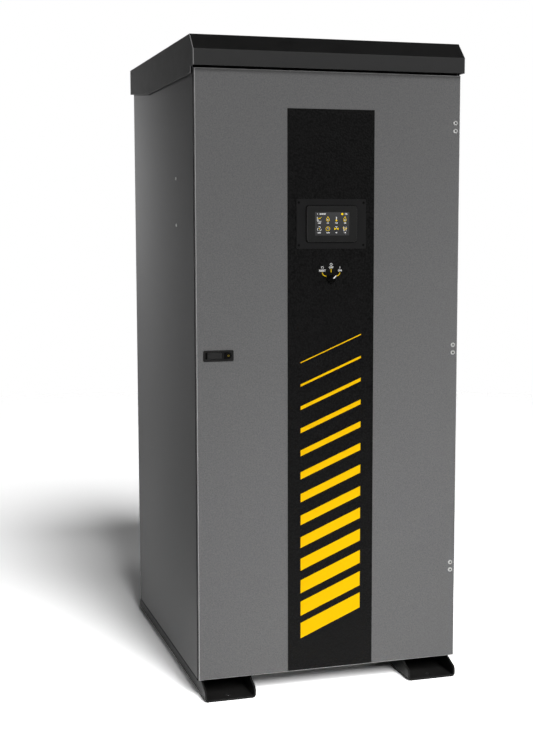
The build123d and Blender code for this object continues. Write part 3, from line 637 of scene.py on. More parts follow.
def mesh_from(work, name, turn_outwards=True):
    bmesh.ops.remove_doubles(work, verts=work.verts, dist=MERGE)
    bmesh.ops.dissolve_degenerate(work, edges=work.edges, dist=MERGE)
    if turn_outwards:
        bmesh.ops.recalc_face_normals(work, faces=work.faces)
    mesh = bpy.data.meshes.new(name)
    work.to_mesh(mesh)
    work.free()
    return mesh


def print_mesh(name, polygons, front, thickness=PRINT_THICKNESS):
    """A thin layer on an upright face: polygons of (x, z) points that share edges where they meet."""
    work = bmesh.new()
    for polygon in polygons:
        work.faces.new([work.verts.new((x, front, z)) for x, z in polygon])
    bmesh.ops.remove_doubles(work, verts=work.verts, dist=MERGE)
    layer = bmesh.ops.extrude_face_region(work, geom=work.faces[:], use_keep_orig=True)["geom"]
    moved = [item for item in layer if isinstance(item, bmesh.types.BMVert)]
    bmesh.ops.translate(work, verts=moved, vec=(0, -thickness, 0))
    return mesh_from(work, name)


def print_piece(name, polygons, front, material, body="door", thickness=PRINT_THICKNESS):
    add_piece(name, print_mesh(name, polygons, front, thickness), material, body)


def turned_mesh(name, profile, centre, turn, sides=ROUND_SIDES):
    """A closed turned shape from (radius, height) points along its axis, which is then turned and moved."""
    work = bmesh.new()
    angles = [2 * math.pi * number / sides for number in range(sides)]
    loops = []
    for radius, height in profile:
        loops.append([work.verts.new((radius * math.cos(a), radius * math.sin(a), height)) for a in angles])
    for lower, upper in zip(loops, loops[1:]):
        for number in range(sides):
            after = (number + 1) % sides
            work.faces.new((lower[number], lower[after], upper[after], upper[number]))
    work.faces.new(loops[0][::-1])
    work.faces.new(loops[-1])
    work.transform(Matrix.Translation(centre) @ Euler(turn).to_matrix().to_4x4())
    return mesh_from(work, name)


def joined(meshes, name):
    work = bmesh.new()
    for mesh in meshes:
        work.from_mesh(mesh)
        bpy.data.meshes.remove(mesh)
    mesh = bpy.data.meshes.new(name)
    work.to_mesh(mesh)
    work.free()
    return mesh


def lettering(text, size, x, z, front, align="CENTER"):
    """Plain letters or figures on an upright face, made a mesh before they are placed."""
    curve = bpy.data.curves.new("letters", "FONT")
    curve.body = text
    curve.size = size
    curve.align_x = align
    curve.align_y = "CENTER"
    curve.extrude = PRINT_THICKNESS / 2
    curve.offset = size * LETTER_WEIGHT
    curve.resolution_u = LETTER_STEPS
    mesh = evaluated_mesh(bpy.data.objects.new("letters", curve))
    bpy.data.curves.remove(curve)
    work = bmesh.new()
    work.from_mesh(mesh)
    bpy.data.meshes.remove(mesh)
    place_on_face = Matrix.Translation((x, front - PRINT_THICKNESS / 2, z))
    work.transform(place_on_face @ Euler(FRONT).to_matrix().to_4x4())
    return mesh_from(work, "letters", turn_outwards=False)


# Flat outlines, as lists of (x, z) polygons
def arc_points(x, z, radius, start, end, steps=ARC_STEPS):
    angles = [math.radians(start + (end - start) * number / steps) for number in range(steps + 1)]
    return [(x + radius * math.cos(a), z + radius * math.sin(a)) for a in angles]


def disc(x, z, radius):
    return [arc_points(x, z, radius, 0, 360)[:-1]]


def ribbon(points, width):
    """A line of even width along points, mitred at its corners. A closed line repeats its first point."""
    closed = math.dist(points[0], points[-1]) < MERGE
    count = len(points) - 1 if closed else len(points)
    sides = []
    for number in range(count):
        here = Vector(points[number])
        before = Vector(points[(number - 1) % count]) if closed or number else here
        after = Vector(points[(number + 1) % count]) if closed or number < count - 1 else here
        into = here - before
        out = after - here
        into = into.normalized() if into.length > MERGE else out.normalized()
        out = out.normalized() if out.length > MERGE else into
        normal = Vector((-(into.y + out.y), into.x + out.x)).normalized()
        reach = width / 2 / max(normal.dot(Vector((-out.y, out.x))), MITRE_LIMIT)
        sides.append((tuple(here - normal * reach), tuple(here + normal * reach)))
    following = sides[1:] + sides[:1] if closed else sides[1:]
    return [[a[0], b[0], b[1], a[1]] for a, b in zip(sides, following)]


def bar(x_low, x_high, z_low, z_high):
    return [[(x_low, z_low), (x_high, z_low), (x_high, z_high), (x_low, z_high)]]


# Repeated things, grown by Geometry Nodes
def geometry_tree(name, points=False, counts=(), sizes=(), vectors=()):
    """A tree with named inputs and its finish. Points come in where the tree doesn't make its own."""
    inputs = {"Geometry": "Geometry"} if points else {}
    kinds = {"Int": counts, "Float": sizes, "Vector": vectors, "Material": ["Material"]}
    for socket, labels in kinds.items():
        inputs.update({label: socket for label in labels})
    return new_group(name, "GeometryNodeTree", inputs, {"Geometry": "Geometry"})


def end_tree(tree, start, end, shape):
    """Every tree ends here: instances made real, then their finish."""
    real = grown(tree, "RealizeInstances", {0: shape})
    done = grown(tree, "SetMaterial", {"Geometry": real, "Material": start["Material"]})
    tree.links.new(done, end["Geometry"])


def on_points(tree, points, instance, **feeds):
    feeds = dict(feeds, Points=points, Instance=instance)
    return grown(tree, "InstanceOnPoints", feeds)


def rotation(tree, turn):
    return place(tree, "FunctionNodeEulerToRotation", {0: turn}).outputs[0]


def make_fastener_tree():
    """A head on each point: a straight rim, a tapered crown and a sunk or raised middle."""
    tree, start, end = geometry_tree("fasteners", True, ["Sides"], FASTENER_SIZES, ["Turn"])
    feeds = {"Vertices": start["Sides"], "Radius": start["Head Radius"]}
    foot = grown(tree, "MeshCircle", feeds, fill_type="NGON")
    rim = place(tree, "GeometryNodeExtrudeMesh", {"Mesh": foot, "Offset Scale": start["Rim Height"]})
    mesh, top = rim.outputs["Mesh"], rim.outputs["Top"]
    steps = (
        (start["Crown Height"], start["Crown Share"]),
        (0.0, start["Middle Share"]),
        (start["Middle Rise"], SOCKET_TAPER),
    )
    for rise, share in steps:
        feeds = {"Mesh": mesh, "Selection": top, "Offset Scale": rise}
        raised = place(tree, "GeometryNodeExtrudeMesh", feeds)
        top = raised.outputs["Top"]
        feeds = {"Geometry": raised.outputs["Mesh"], "Selection": top, "Scale": share}
        mesh = grown(tree, "ScaleElements", feeds)
    head = place(tree, "GeometryNodeJoinGeometry", {0: mesh})
    tree.links.new(grown(tree, "FlipFaces", {0: foot}), head.inputs[0])
    feeds = {"Geometry": head.outputs[0], "Distance": MERGE}
    closed = grown(tree, "MergeByDistance", feeds)
    heads = on_points(tree, start["Geometry"], closed, Rotation=rotation(tree, start["Turn"]))
    end_tree(tree, start, end, heads)
    return tree


def make_ring_tree():
    """A round band on each point: a flat section carried round a circle."""
    sizes = ("Ring Radius", "Section Width", "Section Height", "Section Rounding")
    tree, start, end = geometry_tree("rings", True, sizes=sizes, vectors=["Turn"])
    feeds = {"Resolution": RING_STEPS, "Radius": start["Ring Radius"]}
    path = grown(tree, "CurvePrimitiveCircle", feeds)
    feeds = {"Width": start["Section Width"], "Height": start["Section Height"]}
    section = grown(tree, "CurvePrimitiveQuadrilateral", feeds)
    feeds = {"Curve": section, "Radius": start["Section Rounding"], "Count": SECTION_STEPS}
    section = grown(tree, "FilletCurve", feeds, mode="POLY")
    ring = grown(tree, "CurveToMesh", {"Curve": path, "Profile Curve": section})
    bands = on_points(tree, start["Geometry"], ring, Rotation=rotation(tree, start["Turn"]))
    end_tree(tree, start, end, bands)
    return tree


def make_slat_tree():
    """An even row of like blocks from a first place, each one step on."""
    tree, start, end = geometry_tree("slats", counts=["Count"], vectors=("First", "Step", "Size"))
    feeds = {"Count": start["Count"], "Start Location": start["First"], "Offset": start["Step"]}
    places = grown(tree, "MeshLine", feeds)
    block = grown(tree, "MeshCube", {"Size": start["Size"]})
    end_tree(tree, start, end, on_points(tree, places, block))
    return tree


def make_rib_tree():
    """Ribs that stand out from a round body, all round an axis along X."""
    sizes = ("Body Radius", "Rib Length", "Rib Width", "Rib Height")
    tree, start, end = geometry_tree("ribs", counts=["Count"], sizes=sizes, vectors=["Centre"])
    feeds = {"Vertices": start["Count"], "Radius": start["Body Radius"]}
    circle = grown(tree, "MeshCircle", feeds)
    outward = grown(tree, "InputPosition")
    turn = place(tree, "FunctionNodeAlignRotationToVector", {"Vector": outward}, axis="X").outputs[0]
    feeds = {"X": start["Rib Height"], "Y": start["Rib Width"], "Z": start["Rib Length"]}
    rib = grown(tree, "MeshCube", {"Size": put(tree, "CombineXYZ", feeds)})
    ribs = on_points(tree, circle, rib, Rotation=turn)
    feeds = {"Geometry": ribs, "Translation": start["Centre"], "Rotation": RIGHT}
    end_tree(tree, start, end, grown(tree, "Transform", feeds))
    return tree


def make_slanted_bar_tree():
    """Slanted bars up a strip, each thinner than the one below."""
    sizes = ("Width", "Pitch", "Thickest", "Thinnest", "Rise Share", "Layer")
    tree, start, end = geometry_tree("slanted_bars", counts=["Count"], sizes=sizes, vectors=["First"])
    step = put(tree, "CombineXYZ", {"Z": start["Pitch"]})
    places = grown(tree, "MeshLine", {"Count": start["Count"], "Offset": step})
    last = arithmetic(tree, "SUBTRACT", start["Count"], 1.0)
    share = arithmetic(tree, "DIVIDE", grown(tree, "InputIndex"), last)
    thickness = spread(tree, share, 0.0, 1.0, start["Thickest"], start["Thinnest"])
    feeds = {"X": start["Width"], "Y": start["Layer"], "Z": thickness}
    size = put(tree, "CombineXYZ", feeds)
    bars = on_points(tree, places, grown(tree, "MeshCube"), Scale=size)
    flat = grown(tree, "RealizeInstances", {0: bars})
    across = put(tree, "SeparateXYZ", {0: grown(tree, "InputPosition")}, "X")
    lift = arithmetic(tree, "MULTIPLY", across, start["Rise Share"])
    feeds = {"Geometry": flat, "Offset": put(tree, "CombineXYZ", {"Z": lift})}
    slanted = grown(tree, "SetPosition", feeds)
    feeds = {"Geometry": slanted, "Translation": start["First"]}
    end_tree(tree, start, end, grown(tree, "Transform", feeds))
    return tree


fastener_tree = make_fastener_tree()
ring_tree = make_ring_tree()
slat_tree = make_slat_tree()
rib_tree = make_rib_tree()
slanted_bar_tree = make_slanted_bar_tree()


def grow(name, tree, values, material, body="cabinet", points=()):
    """Runs a tree on a mesh of points and keeps the result as a plain mesh."""
    seed = bpy.data.meshes.new(name + "_points")
    seed.from_pydata([tuple(point) for point in points], [], [])
    holder = bpy.data.objects.new(name + "_maker", seed)
    modifier = holder.modifiers.new("maker", "NODES")
    modifier.node_group = tree
    values = dict(values, Material=finishes[material])
    for item in tree.interface.items_tree:
        if item.in_out == "INPUT" and item.name in values:
            modifier[item.identifier] = values[item.name]
    add_piece(name, evaluated_mesh(holder), material, body)


def fasteners(name, kind, points, turn, sides=16, material="zinc_steel", body="cabinet"):
    values = dict(zip(FASTENER_SIZES, kind), Sides=sides, Turn=turn)
    grow(name, fastener_tree, values, material, body, points)


def rings(name, radius, width, height, points, turn, material, slot=None):
    values = {
        "Ring Radius": radius,
        "Section Width": width,
        "Section Height": height,
        "Section Rounding": min(width, height) * SECTION_ROUNDING_SHARE,
        "Turn": turn,
    }
    grow(name, ring_tree, values, material, points=points)


def inset(low, high, distance):
    return low + distance, high - distance


def circle_points(centre, radius, count, normal):
    """Points round a circle that faces along X or Z."""
    places = []
    for number in range(count):
        angle = 2 * math.pi * (number + 0.5) / count
        first, second = radius * math.cos(angle), radius * math.sin(angle)
        offset = {"X": (0, first, second), "Z": (first, second, 0)}[normal]
        places.append(Vector(centre) + Vector(offset))
    return places


# The door's print and fittings
def strip_bars():
    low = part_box("door_strip")[0]
    first = (0.0, low.y - PRINT_THICKNESS / 2, low.z + BARS_FROM_BOTTOM)
    values = dict(STRIP_BARS, First=first)
    grow("strip_bars", slanted_bar_tree, values, "yellow_print", "door")


def selector_dial():
    middle = box_of("selector_body")[2].z
    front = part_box("door_strip")[0].y
    marks = bar(-MARK_WIDTH / 2, MARK_WIDTH / 2, middle + MIDDLE_MARK_LOW, middle + MIDDLE_MARK_HIGH)
    run = MARK_FAR - MARK_NEAR
    rise = MARK_FAR_RISE - MARK_NEAR_RISE
    for side in (-1, 1):
        curve = []
        for step in range(MARK_STEPS + 1):
            angle = math.pi / 2 * step / MARK_STEPS
            x = MARK_FAR - run * (1 - math.cos(angle))
            curve.append((side * x, middle + MARK_FAR_RISE - rise * math.sin(angle)))
        marks += ribbon(curve, MARK_WIDTH)
    print_piece("selector_marks", marks, front, "yellow_marks")
    words = (
        ("RESET", -MARK_FAR, LABEL_RISE),
        ("OFF", 0.0, MIDDLE_LABEL_RISE),
        ("ON", MARK_FAR, LABEL_RISE),
    )
    labels = [lettering(word, LABEL_SIZE, x, middle + up, front) for word, x, up in words]
    high = middle + MIDDLE_LABEL_RISE + LABEL_LINE
    symbols = ribbon(arc_points(0.0, high, SYMBOL_RADIUS, 0, 360), SYMBOL_STROKE)
    high = middle + LABEL_RISE + LABEL_LINE
    half = SYMBOL_STROKE / 2
    symbols += bar(MARK_FAR - half, MARK_FAR + half, high - SYMBOL_RADIUS, high + SYMBOL_RADIUS)
    symbols += ribbon(arc_points(-MARK_FAR, high, SYMBOL_RADIUS, -60, 220), SYMBOL_STROKE)
    labels.append(print_mesh("symbols", symbols, front))
    add_piece("selector_labels", joined(labels, "selector_labels"), "white_print", "door")


def knob_pointer():
    low, high, middle = box_of("selector_knob")
    ends = [(high.x - low.x) / 2 * share for share in POINTER_SHARES]
    sine, cosine = math.sin(POINTER_ANGLE), math.cos(POINTER_ANGLE)
    line = ribbon([(middle.x + end * sine, middle.z + end * cosine) for end in ends], POINTER_WIDTH)
    print_piece("knob_pointer", line, low.y, "white_print", "selector_knob")


def icon_shapes():
    """Eight plain picture signs as (white polygons, yellow polygons), in shares of half an icon."""
    stroke = ICON_STROKE / ICON_HALF
    levels = ribbon([(-0.9, 0.9), (-0.9, -0.9), (0.9, -0.9)], stroke) + bar(-0.6, -0.35, -0.75, -0.2)
    fan = []
    for turn in (90, 210, 330):
        x, z = 0.5 * math.cos(math.radians(turn)), 0.5 * math.sin(math.radians(turn))
        fan += ribbon(arc_points(x, z, 0.42, turn - 120, turn + 60), stroke)
    drop = [(0.0, 1.0), (-0.36, 0.42)] + arc_points(0, -0.25, 0.66, 160, 380, 12)
    drop += [(0.36, 0.42), (0.0, 1.0)]
    flame = [(0.1, 1.0), (-0.55, 0.1)] + arc_points(0, -0.35, 0.6, 170, 370, 12)
    flame += [(0.3, 0.35), (0.1, 1.0)]
    clock = ribbon(arc_points(0, 0, 0.85, 0, 360), stroke)
    stem = ribbon([(0.0, 0.1), (0.0, 0.75)], stroke) + bar(-0.45, 0.45, 0.7, 0.9)
    valve = [[(-0.9, -0.5), (-0.05, 0.0), (-0.9, 0.5)], [(0.9, 0.5), (0.05, 0.0), (0.9, -0.5)]]
    sliders = []
    for x in (-0.6, 0.0, 0.6):
        sliders += bar(x - stroke / 2, x + stroke / 2, -0.9, 0.9)
    return (
        (levels, ribbon([(-0.7, 0.0), (-0.2, 0.5), (0.2, 0.1), (0.9, 0.8)], stroke)),
        (disc(0.0, -0.3, 0.24), ribbon(drop, stroke)),
        (bar(-0.16, 0.16, -0.35, 0.95), disc(0.0, -0.55, 0.38)),
        (disc(0.0, -0.42, 0.24), ribbon(flame, stroke)),
        (fan, disc(0.0, 0.0, 0.2)),
        (ribbon([(0.0, 0.55), (0.0, 0.0), (0.42, -0.2)], stroke), clock),
        (stem, valve),
        (sliders, disc(-0.6, 0.35, 0.26) + disc(0.0, -0.4, 0.26) + disc(0.6, 0.1, 0.26)),
    )


def screen_contents():
    low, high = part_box("display_screen")
    front = low.y
    white, yellow, figures = [], [], []
    for number, (whites, yellows) in enumerate(icon_shapes()):
        row, column = divmod(number, ICON_COLUMNS)
        x = low.x + ICON_FIRST + column * ICON_SPACING
        z = high.z - ICON_TOP_DROP - row * ICON_ROW_DROP
        for shapes, kept in ((whites, white), (yellows, yellow)):
            kept += [[(x + u * ICON_HALF, z + v * ICON_HALF) for u, v in polygon] for polygon in shapes]
        figures.append(lettering(CAPTIONS[number], CAPTION_SIZE, x, z - CAPTION_DROP, front))
    top = high.z - HEADER_DROP
    figures.append(lettering("1   08:00:00", HEADER_SIZE, low.x + HEADER_INSET, top, front, "LEFT"))
    figures.append(lettering("100", HEADER_SIZE, high.x - HEADER_INSET, top, front, "RIGHT"))
    figures.append(print_mesh("white_signs", white, front))
    marks = joined(figures, "screen_white_marks")
    add_piece("screen_white_marks", marks, "white_pixels", "door")
    yellow += disc(high.x - STATUS_INSET, top, STATUS_RADIUS)
    print_piece("screen_yellow_marks", yellow, front, "yellow_pixels")


def display_shade_ring():
    """A painted shade: a dark layer on the plate, showing as a thin line round the display's housing where
    its side lies in shade.
    """
    low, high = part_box("display_housing")
    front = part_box("display_plate")[0].y
    inner = SHADE_RING_ROUNDING - SHADE_RING_WIDTH
    corners = (
        (high.x - inner, high.z - inner, 0),
        (low.x + inner, high.z - inner, 90),
        (low.x + inner, low.z + inner, 180),
        (high.x - inner, low.z + inner, 270),
    )
    outline = []
    for x, z, start in corners:
        outline += arc_points(x, z, SHADE_RING_ROUNDING, start, start + 90, SHADE_RING_STEPS)
    print_piece("display_shade_ring", [outline], front, "black_oxide_and_painted_shade", thickness=SHADE_RING_THICKNESS)


def door_fasteners():
    low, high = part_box("door_panel")
    x = high.x - HINGE_SCREW_INSET
    points = []
    for level in ("bottom", "middle", "top"):
        middle = box_of(f"{level}_hinge_door_leaf")[2].z
        points += [(x, low.y, middle + side * HINGE_SCREW_SPREAD) for side in (-1, 1)]
    fasteners("hinge_screws", BUTTON_SCREW, points, FRONT, 24, body="door")
    # Painted shade: a black disc on the floor of each screw's socket
    floors = [(x, y - BUTTON_SOCKET_SHADE_RISE, z) for x, y, z in points]
    fasteners("hinge_screw_socket_shade", BUTTON_SOCKET_SHADE, floors, FRONT, 6, "black_oxide_and_painted_shade", "door")
    low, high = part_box("display_plate")
    across, down = PLATE_SCREW_INSET
    points = [(x, low.y, z) for x in inset(low.x, high.x, across) for z in inset(low.z, high.z, down)]
    fasteners("display_plate_screws", PLATE_SCREW, points, FRONT, material="black_oxide_and_painted_shade", body="door")


def latch_lock():
    low, high, centre = box_of("latch_body")
    middle = centre.z
    x = high.x - LOCK_INSET
    # Painted shade: a black layer on the floor of the lock's recess
    left = x - LOCK_RECESS_LENGTH
    outline = [(left, middle + LOCK_RECESS_RADIUS), (left, middle - LOCK_RECESS_RADIUS)]
    outline += arc_points(x, middle, LOCK_RECESS_RADIUS, -90, 90)
    print_piece("latch_lock_recess_shade", [outline], low.y + LOCK_RECESS_DEPTH, "black_oxide_and_painted_shade")
    front = low.y
    bevel = LOCK_REACH * LOCK_BEVEL_SHARE
    for name, radius, material, slot in (
        ("latch_lock_face", LOCK_FACE_RADIUS, "black_oxide_and_painted_shade", "latch_plastic"),
        ("latch_lock_plug", LOCK_PLUG_RADIUS, "brass", "zinc_steel"),
    ):
        profile = [(radius, 0.0), (radius, LOCK_REACH - bevel), (radius - bevel, LOCK_REACH)]
        add_piece(name, turned_mesh(name, profile, (x, front, middle), FRONT), material, "door")
        front -= LOCK_REACH
    # The key slot is a black print, painted shade for the slot's depth
    width, height = KEY_SLOT
    key_slot = bar(x - width / 2, x + width / 2, middle - height / 2, middle + height / 2)
    print_piece("latch_key_slot", key_slot, front, "black_oxide_and_painted_shade")


def liner_pins():
    low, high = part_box("door_liner")
    step_x = (high.x - low.x - 2 * LINER_PIN_INSET) / (LINER_PIN_COLUMNS - 1)
    step_z = (high.z - low.z - 2 * LINER_PIN_INSET) / (LINER_PIN_ROWS - 1)
    points = []
    for row in range(LINER_PIN_ROWS):
        for column in range(LINER_PIN_COLUMNS):
            x = low.x + LINER_PIN_INSET + column * step_x
            points.append((x, high.y, low.z + LINER_PIN_INSET + row * step_z))
    fasteners("door_liner_pins", LINER_PIN, points, BACK, 12, body="door")


# The cabinet's fasteners and the back
def cabinet_screws():
    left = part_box("left_side_panel")[0].x
    points = [(left, y, z) for y, z in SIDE_SCREW_PLACES]
    fasteners("side_panel_screws", PANEL_SCREW, points, LEFT)
    low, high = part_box("back_panel")
    bottom = low.z + BACK_SCREW_INSET
    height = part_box("lid")[0].z - BACK_SCREW_INSET - bottom
    sides = inset(low.x, high.x, BACK_SCREW_INSET)
    width = sides[1] - sides[0]
    steps = round(height / BACK_SCREW_SPACING)
    points = [(x, high.y, bottom + height * step / steps) for x in sides for step in range(steps + 1)]
    steps = round(width / BACK_SCREW_SPACING)
    points += [(sides[0] + width * step / steps, high.y, bottom) for step in range(1, steps)]
    fasteners("back_panel_screws", PANEL_SCREW, points, BACK, 12)


def pipe_grommets():
    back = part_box("back_panel")[1].y
    for node in ("flue_outlet", "air_duct", "gas_pipe", "condensate_drain") + WATER_NOZZLES:
        low, high, middle = box_of(node)
        radius = WATER_PIPE_RADIUS if node in WATER_NOZZLES else (high.x - low.x) / 2
        centre = (middle.x, back + GROMMET_THICKNESS / 2, middle.z)
        sizes = (radius + GROMMET_WIDTH / 2, GROMMET_WIDTH, GROMMET_THICKNESS)
        rings(f"{node}_grommet", *sizes, [centre], BACK, "gasket_rubber")


def flange_faces():
    width = RAISED_FACE_RADIUS - WATER_BORE_RADIUS
    sizes = (RAISED_FACE_RADIUS - width / 2, width, RAISED_FACE_THICKNESS)
    for node in WATER_NOZZLES:
        high, middle = box_of(node)[1:]
        centre = (middle.x, high.y + RAISED_FACE_THICKNESS / 2, middle.z)
        rings(f"{node}_raised_face", *sizes, [centre], BACK, "stainless_steel", "primer_steel")


# Inside the cabinet
def vessel_jacket():
    low, high, centre = box_of("vessel_shell")
    radius = (high.x - low.x) / 2
    height = high.z - low.z
    levels = [(centre.x, centre.y, low.z + share * height) for share in BAND_HEIGHT_SHARES]
    sizes = (radius + BAND_THICKNESS / 2, BAND_THICKNESS, BAND_WIDTH)
    rings("jacket_bands", *sizes, levels, UP, "stainless_steel")
    front = centre.y - radius - BAND_THICKNESS
    rows = [low.z + height * (step + 0.5) / SEAM_RIVETS for step in range(SEAM_RIVETS)]
    points = [(centre.x + side * SEAM_WIDTH / 2, front, level) for side in (-1, 1) for level in rows]
    fasteners("jacket_rivets", RIVET, points, FRONT, 8, "stainless_steel")
    seam = bar(-SEAM_WIDTH, SEAM_WIDTH, low.z, high.z)
    inside = centre.y - radius + SEAM_SINK
    print_piece("jacket_seam", seam, inside, "jacket_steel", "cabinet",
                BAND_THICKNESS + SEAM_SINK)


def burner_bolts():
    low, high, centre = box_of("vessel_top_head")
    reach = (high.x - low.x) / 2 * HEAD_BOLT_SHARE
    ring = circle_points((centre.x, centre.y, high.z), reach, HEAD_BOLT_COUNT, "Z")
    fasteners("vessel_head_bolts", SMALL_BOLT, ring, UP, 6)
    low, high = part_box("burner_plate")
    reach = (high.x - low.x) / 2 * PLATE_NUT_SHARE
    top = low.z + BURNER_PLATE_THICKNESS
    ring = circle_points((centre.x, centre.y, top), reach, PLATE_NUT_COUNT, "Z")
    fasteners("burner_plate_nuts", HEX_NUT, ring, UP, 6)


def blower_details():
    low, high, centre = box_of("blower_motor")
    house_low, house_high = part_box("blower_housing")
    reach = house_high.z - centre.z
    start = (house_low.x, centre.y, centre.z)
    ring = circle_points(start, reach * BLOWER_BOLT_SHARE, BLOWER_BOLT_COUNT, "X")
    fasteners("blower_bolts", SMALL_BOLT, ring, LEFT, 6)
    values = {
        "Count": MOTOR_RIB_COUNT,
        "Body Radius": (high.z - low.z) / 2,
        "Rib Length": (high.x - low.x) * MOTOR_RIB_LENGTH_SHARE,
        "Rib Width": MOTOR_RIB_WIDTH,
        "Rib Height": 2 * MOTOR_RIB_HEIGHT,
        "Centre": tuple(centre),
    }
    grow("motor_ribs", rib_tree, values, "motor_plastic")
    sizes = (reach, BLOWER_SEAM_THICKNESS, BLOWER_SEAM_WIDTH)
    rings("blower_seam", *sizes, [(0.0, centre.y, centre.z)], RIGHT, "cast_aluminium")


def valve_caps():
    low, high, middle = box_of("gas_valve")
    profile = [(VALVE_CAP_RADIUS * across, VALVE_CAP_REACH * out) for across, out in VALVE_CAP_PROFILE]
    for number, side in enumerate((-1, 1)):
        x = middle.x + side * (high.x - low.x) * VALVE_CAP_SHARE
        mesh = turned_mesh("cap", profile, (x, low.y, middle.z), FRONT)
        add_piece(f"gas_valve_cap_{number + 1}", mesh, "motor_plastic")
    margin = VALVE_CAP_RADIUS / 2
    points = [(x, low.y, z) for x in inset(low.x, high.x, margin) for z in inset(low.z, high.z, margin)]
    fasteners("gas_valve_screws", PLATE_SCREW, points, FRONT, 12)


def box_covers():
    low, high, middle = box_of("electrical_box")
    values = {
        "Count": LOUVRE_COUNT,
        "First": (high.x, middle.y, high.z - LOUVRE_DROP),
        "Step": (0.0, 0.0, -LOUVRE_PITCH),
        "Size": (2 * LOUVRE_REACH, (high.y - low.y) * LOUVRE_LENGTH_SHARE, LOUVRE_HEIGHT),
    }
    grow("electrical_box_louvres", slat_tree, values, "box_paint")
    margin = COVER_SCREW_INSET
    points = [(high.x, y, z) for y in inset(low.y, high.y, margin) for z in inset(low.z, high.z, margin)]
    fasteners("electrical_box_screws", PANEL_SCREW, points, RIGHT)
    low, high, middle = box_of("air_filter_box")
    values = {
        "Count": FILTER_RIB_COUNT,
        "First": (middle.x, low.y, low.z + FILTER_RIB_INSET),
        "Step": (0.0, 0.0, (high.z - low.z - 2 * FILTER_RIB_INSET) / (FILTER_RIB_COUNT - 1)),
        "Size": ((high.x - low.x) * FILTER_RIB_SHARE, 2 * LOUVRE_REACH, LOUVRE_HEIGHT),
    }
    grow("air_filter_ribs", slat_tree, values, "filter_plastic")


# The studio
def seen_rays(tree):
    """One for what the camera sees, straight or by way of metal and glass."""
    path = place(tree, "ShaderNodeLightPath").outputs
    seen = arithmetic(tree, "ADD", path["Is Camera Ray"], path["Is Glossy Ray"])
    return arithmetic(tree, "MINIMUM", arithmetic(tree, "ADD", seen, path["Is Transmission Ray"]), 1.0)


def make_floor():
    mesh = bpy.data.meshes.new("floor")
    work = bmesh.new()
    bmesh.ops.create_circle(work, cap_ends=True, segments=FLOOR_SIDES, radius=FLOOR_RADIUS)
    work.to_mesh(mesh)
    work.free()
    material, tree = new_material("pale_floor")[:2]
    tree.nodes.remove(tree.nodes["Principled BSDF"])
    away = put(tree, "VectorMath", {0: object_coordinates(tree)}, "Value", operation="LENGTH")
    colour = mix_colour(tree, seen_rays(tree), opaque(FLOOR_PALE), opaque(FLOOR_SEEN))
    surface = put(tree, "BsdfDiffuse", {"Color": colour})
    clear = put(tree, "BsdfTransparent")
    both = put(tree, "MixShader", {0: spread(tree, away, *FLOOR_FADE), 1: surface, 2: clear})
    tree.links.new(both, tree.nodes["Material Output"].inputs["Surface"])
    mesh.materials.append(material)
    floor = bpy.data.objects.new("floor", mesh)
    scene.collection.objects.link(floor)


def make_world():
    world = bpy.data.worlds.new("studio")
    world.use_nodes = True
    tree = world.node_tree
    strength = spread(tree, seen_rays(tree), 0.0, 1.0, AMBIENT, 1.0)
    feed(tree, tree.nodes["Background"].inputs, {"Color": opaque(WORLD_WHITE), "Strength": strength})
    scene.world = world


def facing(centre, target):
    """The turn and place of a flat thing that looks at a target."""
    turn = (Vector(target) - Vector(centre)).to_track_quat("-Z", "Y").to_matrix().to_4x4()
    return Matrix.Translation(centre) @ turn


def add_lamp(light, centre, target):
    lamp = bpy.data.objects.new(light.name, light)
    lamp.matrix_world = facing(centre, target)
    scene.collection.objects.link(lamp)
    return lamp


def area_lamp(name, centre, target, width, height, power, spread_angle=math.pi):
    light = bpy.data.lights.new(name, "AREA")
    light.shape = "RECTANGLE"
    light.size = width
    light.size_y = height
    light.energy = power
    light.spread = spread_angle
    lamp = add_lamp(light, centre, target)
    lamp.visible_camera = False
    return lamp


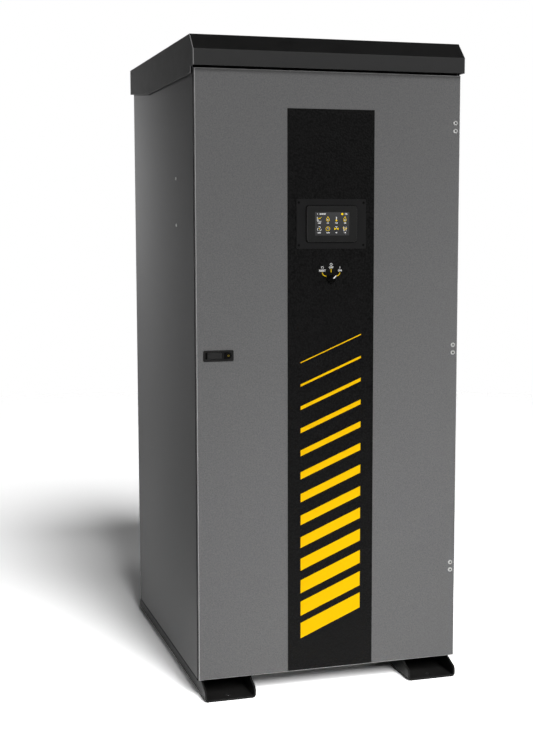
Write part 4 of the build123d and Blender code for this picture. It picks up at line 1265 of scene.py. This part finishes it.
def make_lamps():
    for name, (source, strength, spread_angle) in SUNS.items():
        light = bpy.data.lights.new(name, "SUN")
        light.energy = strength
        light.angle = spread_angle
        add_lamp(light, source, (0.0, 0.0, 0.0)).visible_glossy = False
    for name, settings in LAMPS.items():
        area_lamp(name, *settings).visible_glossy = False
    area_lamp("glint_lamp", *GLINT_LAMP).visible_diffuse = False


def make_cards():
    """Dark cards that shape what the smooth surfaces reflect and nothing else."""
    material, tree, shader = new_material("card_black")
    feed(tree, shader, {"Base Color": opaque(CARD_BLACK), "Specular IOR Level": 0.0})
    for name, (centre, target, width, height) in CARDS.items():
        mesh = bpy.data.meshes.new(name)
        corners = [(x * width / 2, y * height / 2, 0.0) for x, y in ((-1, -1), (1, -1), (1, 1), (-1, 1))]
        mesh.from_pydata(corners, [], [(0, 1, 2, 3)])
        mesh.transform(facing(centre, target))
        mesh.materials.append(material)
        card = bpy.data.objects.new(name, mesh)
        card.visible_camera = False
        card.visible_diffuse = False
        card.visible_transmission = False
        card.visible_shadow = False
        scene.collection.objects.link(card)


def make_camera():
    data = bpy.data.cameras.new("camera")
    data.lens = CAMERA_LENS
    data.sensor_width = CAMERA_SENSOR
    camera = bpy.data.objects.new("camera", data)
    forward = Vector((
        math.sin(CAMERA_YAW) * math.cos(CAMERA_PITCH),
        math.cos(CAMERA_YAW) * math.cos(CAMERA_PITCH),
        -math.sin(CAMERA_PITCH),
    ))
    level = Vector((math.cos(CAMERA_YAW), -math.sin(CAMERA_YAW), 0.0))
    upright = level.cross(forward)
    right = level * math.cos(CAMERA_ROLL) + upright * math.sin(CAMERA_ROLL)
    up = upright * math.cos(CAMERA_ROLL) - level * math.sin(CAMERA_ROLL)
    turn = Matrix((right, up, -forward)).transposed().to_4x4()
    camera.matrix_world = Matrix.Translation(CAMERA_PLACE) @ turn
    scene.collection.objects.link(camera)
    scene.camera = camera


make_camera()
make_floor()
make_world()
make_lamps()
make_cards()

dress_nodes()
strip_bars()
selector_dial()
knob_pointer()
screen_contents()
display_shade_ring()
door_fasteners()
latch_lock()
liner_pins()
cabinet_screws()
pipe_grommets()
flange_faces()
vessel_jacket()
burner_bolts()
blower_details()
valve_caps()
box_covers()

scene.view_settings.view_transform = "Standard"
